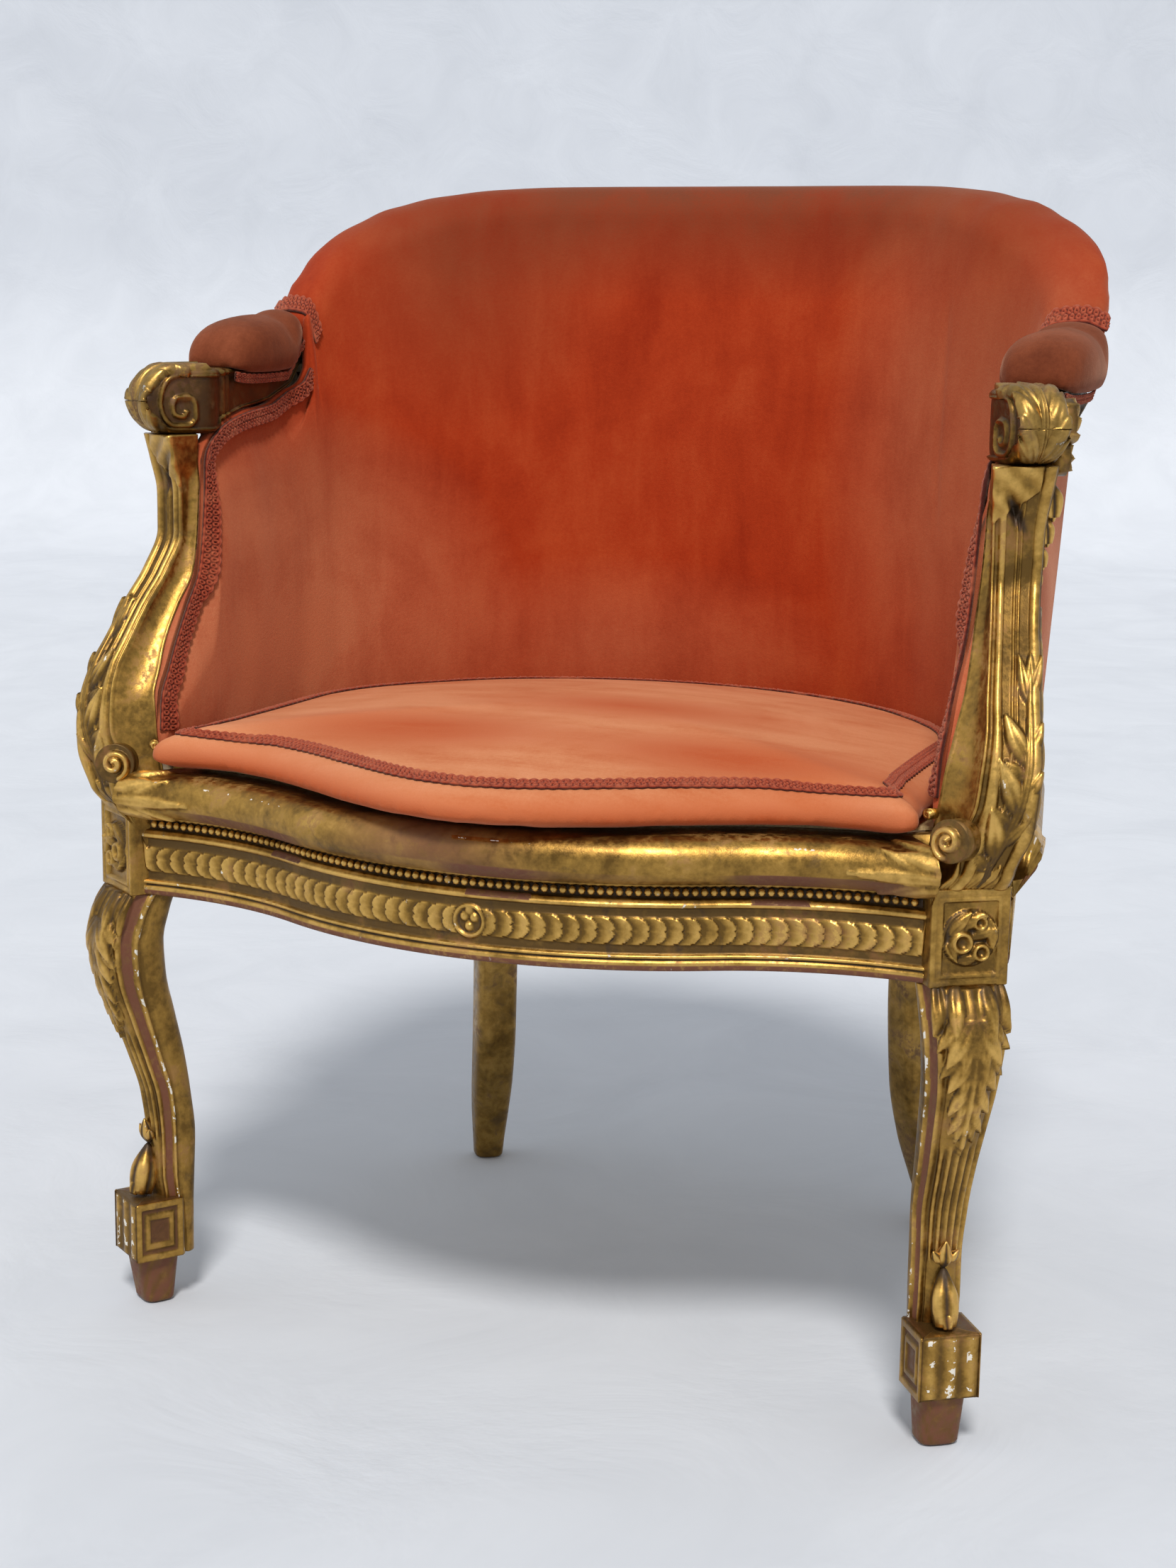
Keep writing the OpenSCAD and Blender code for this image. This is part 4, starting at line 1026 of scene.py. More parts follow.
@dataclass
class SeatRails:
    """The four carved seat rails: a sunk frieze of scales, a row of pearls and a rounded top moulding."""

    step: float = 1.0
    pearl_pitch: float = 5.7
    pearl_r: float = 2.55
    pearl_z: float = 349.4
    frieze: tuple[float, float] = (311.0, 339.0)
    rosette_r: float = 11.4
    rubbed_below: float = 304.5
    scale_pitch: float = 10.6
    scale_r: float = 8.3
    scale_rise: float = 2.5
    leaf: float = 66.0
    torus_r: float = 15.0
    outline: Array = field(init=False)

    def __post_init__(self) -> None:
        """Sets out the section: offset, height and base relief of each row."""
        foot = [(-34, 300, .4), (-17, 300, .4), (-3, 300.1, .5), (-1, 300.5, .6), (-.2, 301.6, .7),
                (0, 303.2, .7), (.4, 305, .75), (0, 306.4, .6), (-1.4, 307.1, .1), (-1.4, 307.8, .1),
                (.1, 308.4, .6), (.5, 309.4, .9), (-.3, 310.4, .7)]
        frieze = [(-2.6, z, 0.0) for z in np.arange(self.frieze[0], self.frieze[1] + 0.5, 1.0)]
        fillet = [(-.5, 339.7, .5), (.5, 340.3, .85), (1, 341.3, .95), (.9, 342.3, .85), (-.2, 343.2, .6),
                  (-.9, 344.4, .65), (-1.9, 345.1, .4), (-3.6, 345.6, .1), (-4.2, 347, .0), (-4.3, 350, .0),
                  (-4, 352.4, .05), (-2.4, 353, .5), (-2.1, 353.8, .6), (-4.4, 354.4, .1), (-6.6, 355.2, .0)]
        a = np.radians(np.linspace(-114, 91, 34))
        torus = [(1 + self.torus_r * math.cos(t), 370 + self.torus_r * math.sin(t), .5) for t in a]
        top = [(-6, 385, .4), (-20, 385, .3), (-34, 385, .3)]
        start = len(foot + frieze + fillet)
        self.outline = np.array(foot + frieze + fillet + torus + top)
        self.frieze_rows = slice(len(foot), len(foot) + len(frieze))
        self.hollow_rows = slice(start - 4, start)
        self.torus_rows = slice(start, start + len(torus))
        self.torus_y = self.torus_r * (a - math.radians(-8))[None]

    def rail(self, track: Formula, ends: tuple[Array, Array], motif: bool) -> list[Shell]:
        """Carved rail between two planes, with its pearls and a leaf on the moulding at each end.

        Args:
            track: gives the plan point at an arc length and an offset.
            ends: arc length of each row of the section at both ends.
            motif: whether the scales part at a rosette in the middle, instead of running one way.

        Returns:
            The rail and the pearls.
        """
        start, end = ends
        t = start + (end - start) * np.linspace(0, 1, int(np.max(end - start) / self.step))[:, None]
        off, z, base = (np.broadcast_to(column, t.shape) for column in self.outline.T)
        rings = np.concatenate([track(t, off), z[..., None]], -1)
        height, relief = np.zeros(t.shape), base.copy()
        f, m, arcs = self.frieze_rows, self.torus_rows, self.hollow_rows
        v = z[:, f] - sum(self.frieze) / 2
        cut = scales(np.abs(t[:, f]) if motif else -t[:, f], v, self.scale_pitch, self.scale_r)
        if motif:
            r = np.hypot(t[:, f], v)
            ring = 0.9 * bell(r - 9.6, 1.3)
            for x, y in ((-3.2, 2.6), (3.4, 2.2), (0.0, -3.6), (0.2, 6.6)):
                ring = np.maximum(ring, dome(np.hypot(t[:, f] - x, v - y), 3.1))
            cut = np.where(r < self.rosette_r, ring, cut)
        height[:, f] = cut * self.scale_rise
        relief[:, f] = np.where(cut > 0.02, 0.03 + 0.95 * cut, 0.22)
        for distance in (t - start, end - t):
            fan = petals(self.torus_y, distance[:, m], self.leaf_end())
            height[:, m] += fan
            relief[:, m] = np.where(fan > 0.05, 0.2 + 0.33 * fan, relief[:, m])
        height[:, arcs] += 0.9 * np.abs(np.sin(np.pi * t[:, arcs] / self.pearl_pitch))
        wave = np.sin(t / 31.0 + 1) + 0.5 * np.sin(t / 13.0)
        wear_and_shade = np.where(z < self.rubbed_below, 1.0, 0.0)
        # Painted shade: the lower front face of the moulding gets bole all along, so it is painted darker;
        # the rub in the middle and the chips are wear.
        low = (self.torus_y < -4) & (self.torus_y > -17)
        rubbed = 0.62 * bell(t[:, m] + 25.0, 85.0) * motif * (self.torus_y > -4)
        chips = (np.abs(self.torus_y - 13) < 1.2) & (wave[:, m] > 0.55)
        wear_and_shade[:, m] = np.where(chips, -0.8, np.where(low, 0.52 + 0.3 * wave[:, m], rubbed))
        wear_and_shade = np.where((z > 341.5) & (z < 345.5) & (wave > 0.75), 0.8, wear_and_shade)
        shells = [loft(carve(rings, height), np.clip(relief, 0, 1), wear_and_shade=np.clip(wear_and_shade, -1, 1))]
        first, last = start[m.start], end[m.start]
        spots = np.linspace(first + 4, last - 4, int((last - first - 8) / self.pearl_pitch))
        where = track(spots, np.full(len(spots), -1.7))
        return shells + beads(np.column_stack([where, np.full(len(spots), self.pearl_z)]), self.pearl_r)

    def leaf_end(self) -> list[Petal]:
        """Lobes of the leaf that lies along the moulding at each end."""
        made = [Petal(9 * k, -4, 9 * k, self.leaf * (0.52 - 0.05 * abs(k)), 12, 2.5) for k in (-2, -1, 1, 2)]
        return made + [Petal(0, -4, 0, self.leaf, 9, 2.8), Petal(-5, 12, -24, 27, 10, 2.3),
                       Petal(5, 12, 24, 27, 10, 2.3)]

    def side_ends(self) -> tuple[Array, Array]:
        """Arc lengths where a side rail meets the corner block and the back leg."""
        off, z, _ = self.outline.T
        near, far = (meet(PLAN.side, off, lambda p: -block_n(p), gap, -330.0, 0.0) for gap in (24.6, 17.2))
        outside = block_s(PLAN.side(near, off)) > np.where(z > PLAN.block_top, 37.0, 25.0)
        return np.where(outside, far, near), meet(PLAN.side, off, leg_side, -17.1, 0.0, 250.0)

    def build(self, gilt: Material) -> None:
        """Makes the rails."""
        off = self.outline[:, 0]
        front = meet(PLAN.front, off, block_s, -24.6, 150.0, 330.0)
        rear = meet(PLAN.rear, off, lambda p: -leg_side(p), -17.1, 0.0, 330.0)
        make_piece("front_rail_carved", self.rail(PLAN.front, (-front, front), motif=True), gilt,
                   ["front_rail"])
        shells = self.rail(PLAN.side, self.side_ends(), motif=False)
        for side in Side:
            side_piece(side, "side_rail_carved", shells, gilt, "side_rail")
        make_piece("back_rail_carved", self.rail(PLAN.rear, (-rear, rear), motif=True), gilt,
                   ["back_rail"])


@dataclass
class FrontLeg:
    """Carved cabriole front leg with its corner block, square foot block and tapered peg."""

    side: Side
    # Each station: height, back and front from the block's middle, and half width.
    stations: tuple = (
        (34, -25, -2, 14), (66, -25.4, 0, 14.1), (95, -26.6, 4, 14.7), (120, -27.6, 4.2, 14.5),
        (150, -24.4, 7.4, 15.9), (180, -19.9, 16.5, 16.8), (210, -13.2, 27.4, 18.7), (240, -6.7, 37.5, 21.1),
        (265, -5, 41.2, 23.4), (285, -9.3, 37.1, 24.6), (301, -14.8, 28.2, 24.9))
    spokes: int = 144
    rows: float = 1.25
    foot: tuple[float, float, float] = (34.0, 78.0, 20.0)
    peg_half: float = 13.0

    def leg(self) -> Shell:
        """The curved leg: a rounded square section carried down it, with leaves, flutes and bead ribs."""
        table = np.array(self.stations, float)
        z = np.arange(table[0, 0], table[-1, 0], self.rows)
        back, front, half = even_curve(table[:, 0], table[:, 1:], z).T[..., None]
        a = around(self.spokes)[None]
        n = (front + back) / 2 + (front - back) / 2 * powered(np.cos(a), 0.78)
        rings = PLAN.at_block(n, half * powered(np.sin(a), 0.72), z[:, None])
        x, y = spread(girth(rings) / (half / 22.0), 300.0 - z[:, None])
        g = np.abs(x)
        lobes = [Petal(8.4 * k, -2, 5 * k, 31, 10.5, 3.4) for k in (-2, -1, 1, 2)]
        for top, reach, wide in ((18, 31, 13), (37, 28, 12), (55, 25, 10), (72, 21, 8)):
            for way in (-1, 1):
                lobes += [Petal(way * 2, top, way * 27, reach, wide, 4.0),
                          Petal(way * 2.5, top + 4, way * 10, reach, 9, 3.6)]
                lobes += [Petal(way * 8, top - 3, way * 30, reach * 0.8, 9, 3.4)] if top < 50 else []
        lobes += [Petal(0, 0, 0, 100, 5.0, 4.2), Petal(0, 84, 0, 22, 8, 3.4)]
        carving = petals(x, y, lobes)
        shaft = ease((y - 96) / 14) * (1 - ease((y - 176) / 8))
        flutes = 1.1 * np.cos(2 * np.pi * g / 6.6) * (g < 16.5) * shaft
        ridge = 2.0 * bell(g - 20.5, 1.7) - 1.2 * bell(g - 17.3, 1.1)
        chain = 2.2 * bell(g - 32.5, 1.9) - 1.3 * bell(g - 36.5, 1.6)
        band = (g > 22.6) & (g < 30.2)
        height = np.where(carving > 0.1, carving, flutes) + (ridge + chain - 0.9 * band)
        relief = np.where(carving > 0.1, 0.06 + 0.058 * np.square(carving),
                          0.45 + 0.12 * (ridge + chain) + 0.22 * flutes)
        wear_and_shade = np.where(band, 0.85, np.where(np.abs(g - 32.5) < 1.6, -0.8, 0.0))
        return loft(carve(rings, height), np.clip(relief, 0, 1), wear_and_shade=wear_and_shade)

    def flower(self) -> list[Shell]:
        """The bell flower that hangs over the foot block, with its collar and two small leaves."""
        table = ((5.5, 0, 116, 12.0, 0, 79.5, 11.5, 4, 1.1, 0.66),
                 (12.0, 0, 93, 17.5, 0, 79.0, 5.6, 3, 1.0, 0.5),
                 (4.5, 0, 114, 8.5, 0, 133, 5.6, 4, 0.8, 0.1),
                 (5, -1.7, 117, 8.5, -8.5, 127, 3.6, 3, 0.9, 0.1),
                 (5, 1.7, 117, 8.5, 8.5, 127, 3.6, 3, 0.9, 0.1))
        return [bud(PLAN.at_block(*row[:3]), PLAN.at_block(*row[3:6]), *row[6:]) for row in table]

    def block(self) -> list[Shell]:
        """The corner block with its framed rosette, and the plain upstand behind it."""
        z = np.concatenate([[300.0], np.linspace(300.6, 359.4, 62), [360.0]])[:, None]
        shown, side = np.linspace(-24.4, 24.4, 56), np.linspace(24.4, -24.4, 14)
        n = np.concatenate([np.full(56, 25.0), side, np.full(8, -25.0), side[::-1]])
        s = np.concatenate([shown, np.full(14, 25.0), np.linspace(24.4, -24.4, 8), np.full(14, -25.0)])
        shrink = np.where((z == 300) | (z == 360), 0.975, 1.0)
        x, v = shown[None], z - 330.0
        out, r = np.maximum(np.abs(x), np.abs(v) - 5.0), np.hypot(x, v)
        rim = ease((out - 16.5) / 1.2) * 2.6 - 0.9 * bell(out - 20.6, 0.9)
        swirls = [Petal(*row) for row in (
            (-13, 2, 42, 19, 9, 4.2), (-5, 6, 58, 19, 8.5, 4.6), (1, 0, 72, 17, 8, 4.2),
            (13, 12, 178, 20, 8.5, 4.2), (-14, -2, 160, 16, 8, 3.8), (-7, -14, 82, 14, 7, 3.4))]
        disc = ease((17.8 - r) / 0.8) + 1.5 * bell(r - 16.6, 0.9) + petals(x, v, swirls) * (r < 17)
        for cx, cy, size in ((-5.4, -2.6, 8.0), (6.8, -9.0, 6.4), (5.6, 9.2, 5.4)):
            q = np.hypot(x - cx, v - cy)
            eye = 1.4 * dome(q, size) + 3.2 * bell(q - size * 0.68, size * 0.20) - 1.2 * bell(q, size * 0.3)
            disc = np.where(q < size, np.maximum(disc * (q > size * 0.8), 1.6 + eye), disc)
        shape = (len(z), len(n))
        face, relief = np.zeros(shape), np.full(shape, 0.45)
        face[:, :56] = rim + disc - 2.4
        relief[:, :56] = np.clip(np.where(r > 17.8, 0.46 + 0.06 * rim, 0.26 + 0.15 * face[:, :56]), 0.06, 1)
        back = np.array([[-24.8, -24.8], [-15.7, -24.8], [-15.7, 24.8], [-24.8, 24.8]])
        corner = PLAN.at_block(back[None, :, 0], back[None, :, 1], np.array([[360.0], [384.9]]))
        return [loft(PLAN.at_block(n * shrink + face, s * shrink, z), relief), loft(corner)]

    def foot_block(self) -> list[Shell]:
        """The square foot block with nested key squares on its sides and flutes in front, and the peg."""
        low, high, half = self.foot
        z = np.concatenate([[low, low + 0.4], np.linspace(low + 1, high - 1, 43), [high - 0.4, high]])
        z = z[:, None]
        count, reach, mid = 36, 18.25, 6.25
        u, one = np.linspace(-1, 1, count), np.ones(count)
        n, s = reach * np.concatenate([one, -u, -one, u]), half * np.concatenate([u, one, -u, -one])
        flat, v = np.tile(u, 4)[None], (z - (low + high) / 2) / 22.0
        out = np.maximum(np.abs(flat), np.abs(v))
        key = 1.5 * ease((out - 0.72) / 0.06) + 1.3 * (ease((out - 0.36) / 0.06) - ease((out - 0.56) / 0.06))
        slot = 0.3 + 1.5 * np.abs(np.cos(1.5 * np.pi * flat)) ** 1.6 * (np.abs(v) < 0.90)
        in_front = np.arange(4 * count)[None] < count
        height = np.where(in_front, slot, key - 1.3 * ease((out - 0.95) / 0.05))
        shrink = np.interp(z, [low, low + 1, high - 1, high], [0.90, 0.985, 0.985, 0.90])
        rings = PLAN.at_block(mid + n * shrink, s * shrink, z)
        block = loft(carve(rings, height - 1.2), np.clip(0.16 + 0.27 * height, 0.14, 1),
                     wear_and_shade=np.where(in_front, -0.72 * (height > 1.3), 0.5 * (height < 0.3)))
        h = np.array([0.05, 0.9, 2.4, 6, 12, 20, 28, 33, 35.5])[:, None]
        a, share, blunt = around(40)[None], h / 34.0, np.interp(h, [0.0, 0.9, 2.4], [0.80, 0.94, 1.0])
        n = mix(3.0, 4.0, share) + mix(11.0, 16.0, share) * blunt * powered(np.cos(a), 0.55)
        s = (self.peg_half + 2 * share) * blunt * powered(np.sin(a), 0.55)
        worn = 0.62 + 0.2 * np.sin(9 * a + h / 3)
        return [block, loft(PLAN.at_block(n, s, h), np.full(n.shape, 0.35), wear_and_shade=worn)]

    def build(self, gilt: Material) -> None:
        """Makes the leg."""
        shells = [self.leg(), *self.flower(), *self.block(), *self.foot_block()]
        side_piece(self.side, "front_leg_carved", shells, gilt, "front_leg")


@dataclass
class BackLeg:
    """Plain curved back leg, its block between the rails and the stile that rises inside the back."""

    side: Side
    # Each station: height, inner and outer face from the rear corner's line, and half width.
    stations: tuple = (
        (0, -24, -2, 11.5), (15, -25, -1, 12.5), (42, -31, 1, 14.5), (75, -39, -3, 16), (120, -45, -6, 16.5),
        (180, -46, -6, 16.5), (240, -44, -3, 16.7), (300, -43, 0, 17))
    kick: float = 18.0

    def build(self, gilt: Material) -> None:
        """Makes the leg."""
        table = np.array(self.stations, float)
        z = np.concatenate([[0.0, 0.8, 2.5], np.arange(6, 300, 4.0), [300.0, 384.8]])[:, None]
        inner, outer, half = even_curve(table[:, 0], table[:, 1:], np.minimum(z[:, 0], 300.0)).T[..., None]
        a, power = around(64)[None], np.interp(z, [0, 200, 300], [0.62, 0.5, 0.14])
        edge = np.interp(z, [0, 0.8, 2.5], [0.86, 0.95, 1.0])
        out = (inner + outer) / 2 + self.kick * np.clip(1 - z / 300.0, 0, 1) ** 3
        out = out + (outer - inner) / 2 * powered(np.cos(a), power) * edge
        leg = PLAN.radial(out, half * powered(np.sin(a), power) * edge, z)
        width = np.array([[-15.0, -15.0, 15.0, 15.0]])
        levels = np.array([[383.0], [float(PLAN.crest(PLAN.corner_len - 15.0)) - 41.0]])
        stile = PLAN.back(PLAN.corner_len + width, np.array([[-33.0, -17.0, -17.0, -33.0]]), levels)
        side_piece(self.side, "back_leg_turned", [loft(leg, np.full(out.shape, 0.62)), loft(stile)], gilt,
                   "back_leg")


@dataclass
class ArmSupport:
    """Carved console that rises from the corner block and sweeps back under the arm."""

    side: Side
    # Each row: height above the block, n and s of the inner edge and both ridges, and depth.
    table: tuple = (
        (0, -10, -18, 22, -21, 25, 24, 36), (10, -7, -18, 24, -12, 33, 24, 40),
        (35, -4, -15, 21.6, -5, 39.3, 32, 42),
        (50, -2.9, -12.7, 25.6, -0.9, 38.6, 33.9, 42), (72, -3.2, -8.7, 23.4, 3, 32.9, 38, 42),
        (91, -11.1, -0.7, 17.7, 7, 23.4, 41, 40), (108, -18.1, 6.7, 7, 11, 10.9, 45, 38),
        (132, -32.2, 16.2, -9.6, 17.8, -6.3, 51, 36), (153, -46.2, 24.1, -27, 25, -23, 56.7, 36),
        (180, -51.4, 28.9, -40.7, 30.1, -37, 63, 36), (206, -54.3, 31.7, -40.5, 29.5, -37.5, 64, 37),
        (230, -56, 33.3, -35, 26.5, -33.5, 66.5, 38), (246, -56.8, 34.1, -31.2, 24.5, -29.9, 67.8, 38))
    rows: float = 1.2
    counts: tuple = (18, 64, 24, 10, 8, 8)
    eye: tuple[float, float, float] = (32.0, -18.5, 391.0)

    def section(self, h: Array) -> Array:
        """Corners of the section at heights above the block: inner edge, ridges, rear and rebate."""
        table = np.array(self.table, float)
        row = even_curve(table[:, 0], table[:, 1:], h)
        a, b, c, depth = row[:, 0:2], row[:, 2:4], row[:, 4:6], row[:, 6:7]
        rear = c - np.hstack([depth, np.full_like(depth, 5.0)])
        return np.stack([a, b, c, rear, a + [1.9, 16.5], a + [8.4, 11.9]], 1)

    def rings(self) -> tuple[Array, Array, Array]:
        """Rings of points, heights above the block, and the walk round the section's corners."""
        h = np.arange(0.0, 246.01, self.rows)
        corner = self.section(h)
        walk = np.concatenate([k + np.linspace(0, 1, n, endpoint=False) for k, n in enumerate(self.counts)])
        k = walk.astype(int)
        flat = mix(corner[:, k], corner[:, (k + 1) % 6], (walk - k)[None, :, None])
        for _ in range(3):
            flat = 0.5 * flat + 0.25 * (np.roll(flat, 1, 1) + np.roll(flat, -1, 1))
        return PLAN.at_block(flat[..., 0], flat[..., 1], PLAN.block_top + h[:, None]), h, walk

    def carving(self, h: Array, walk: Array) -> tuple[Array, Array]:
        """Carving height on the console's three shown sides, and its relief."""
        y, f = spread(h[:, None], walk[None] - 1.0)
        on_front = (f >= 0) & (f <= 1)
        corner = self.section(h)
        width = np.linalg.norm(corner[:, 2] - corner[:, 1], axis=1)[:, None]
        x = f * width
        low = 1 - ease((y - 30) / 90)
        middle, half = mix(0.19, 0.25, low), mix(0.075, 0.13, low)
        ridge = 2.8 * dome(f - middle, half) + 2.6 * dome(f - 0.86, 0.10)
        for rise, spot, wide in ((2.2, 0.025, 0.028), (-1.6, 0.09, 0.03), (-1.5, 0.37, 0.045),
                                 (1.7, 0.46, 0.024), (1.3, 0.55, 0.022), (-1.4, 0.66, 0.06)):
            ridge = ridge + rise * bell(f - spot, wide)
        stem = mix(0.52, 0.77, ease((y - 2) / 70)) * width
        sprig = [Petal(0, 0, 0, 132, 7, 3.4)]
        for level, reach in ((20, 34), (46, 36), (74, 32)):
            sprig += [Petal(0, level, -30, reach, 13, 4.6), Petal(-1, level - 8, -52, reach * 0.55, 8, 3.4)]
            sprig += [Petal(0, level + 6, 24, reach * 0.62, 9, 3.4)]
        sprig += [Petal(0, 108, k, 27, 9, 3.6) for k in (-16, 0, 16)]
        leafage = petals(x - stem, y, sprig)
        foot = petals(x - 0.5 * width, y, [Petal(6.5 * k, -2, 24 + 6 * k, 19, 8, 2.6) for k in range(-4, 5)])
        lip = 214 + 26 * (x / width - 0.15)
        hood = ease((y - lip) / 2.0) * 2.6 * (x < 0.74 * width)
        almond = bell((x - 0.42 * width + 0.5 * (y - 216)) / 3.0, 1.0) * bell((y - 217) / 8.5, 1.0)
        veins = 0.7 * np.sin((x * 0.8 + (y - 206) * 0.9) / 2.6) * hood / 2.6
        face = np.maximum(np.maximum(ridge, leafage), foot) * (1 - hood / 2.6) + hood + veins - 5.0 * almond
        face = np.where(x > 0.74 * width, np.maximum(ridge, leafage), face)
        fade = ease(f / 0.02) * ease((1 - f) / 0.03)
        height = np.where(on_front, face * fade, 0.0)
        relief = np.where(on_front, 0.30 + 0.15 * face - 0.5 * almond, 0.34)
        leafy = on_front & (leafage > 0.2) & (leafage > ridge)
        relief = np.where(leafy, 0.05 + 0.052 * np.square(leafage), relief)
        g = f + 1.0
        on_inner = (g > 0) & (g < 1)
        inner = 1.6 * bell(g - 0.03, 0.05) - 2.4 * np.sin(np.pi * np.clip(g - 0.06, 0, 0.9) / 0.9)
        height = np.where(on_inner, inner * ease((y - 6) / 12) * (1 - ease((y - 214) / 14)), height)
        relief = np.where(on_inner, 0.46 + 0.12 * inner * (g < 0.1), relief)
        q = f - 1.0
        on_outer = (q > 0) & (q < 1)
        scallop = [Petal(0.22 + 0 * k, level, 22, 42, 15, 4.0) for k, level in enumerate((38, 66, 94, 122))]
        scallop += [Petal(5, level + 6, -4, 34, 8, 2.6) for level in (38, 66, 94, 122)]
        lobes = petals(q * 36.0, y, scallop + acanthus(70, 26, 3, 2.6, 16, 150))
        height = np.where(on_outer, lobes * ease(q / 0.06) + 1.2 * bell(q - 0.92, 0.05), height)
        relief = np.where(on_outer, 0.3 + 0.2 * lobes, relief)
        return height, np.clip(relief, 0, 1)

    def volute(self) -> list[Shell]:
        """The coiled foot of the console, and the small scroll that ends its inner ridge."""
        up, line, small = [0, 0, 1.0], coil(10.4, 1.5, 250, 0.24, way=-1), coil(4.2, 1.2, 90, 0.2)

        def height(x: Array, y: Array) -> Array:
            """Coiled band on a domed disc."""
            r = np.hypot(x, y * 0.9)
            return 0.4 + 0.8 * dome(r, 14.5) + 4.4 * stroke(x, y, line, 2.35) + 2.4 * dome(r, 2.2)

        return [medallion(PLAN.at_block(*self.eye), [-0.30, -0.95, 0.08], up, 13.2, 14.0, height,
                          rows=26, spokes=72),
                medallion(PLAN.at_block(4.0, -19.5, 402.0), [-0.55, -0.83, 0.0], up, 3.4, 3.0,
                          lambda x, y: (1.0 + 2.0 * stroke(x, y, small, 1.6)
                                        + 1.2 * dome(np.hypot(x, y), 5.4)), rows=14, spokes=36)]

    def build(self, gilt: Material) -> None:
        """Makes the console."""
        rings, h, walk = self.rings()
        height, relief = self.carving(h, walk)
        shells = [loft(carve(rings, height), relief), *self.volute()]
        side_piece(self.side, "arm_support_carved", shells, gilt, "arm_support")


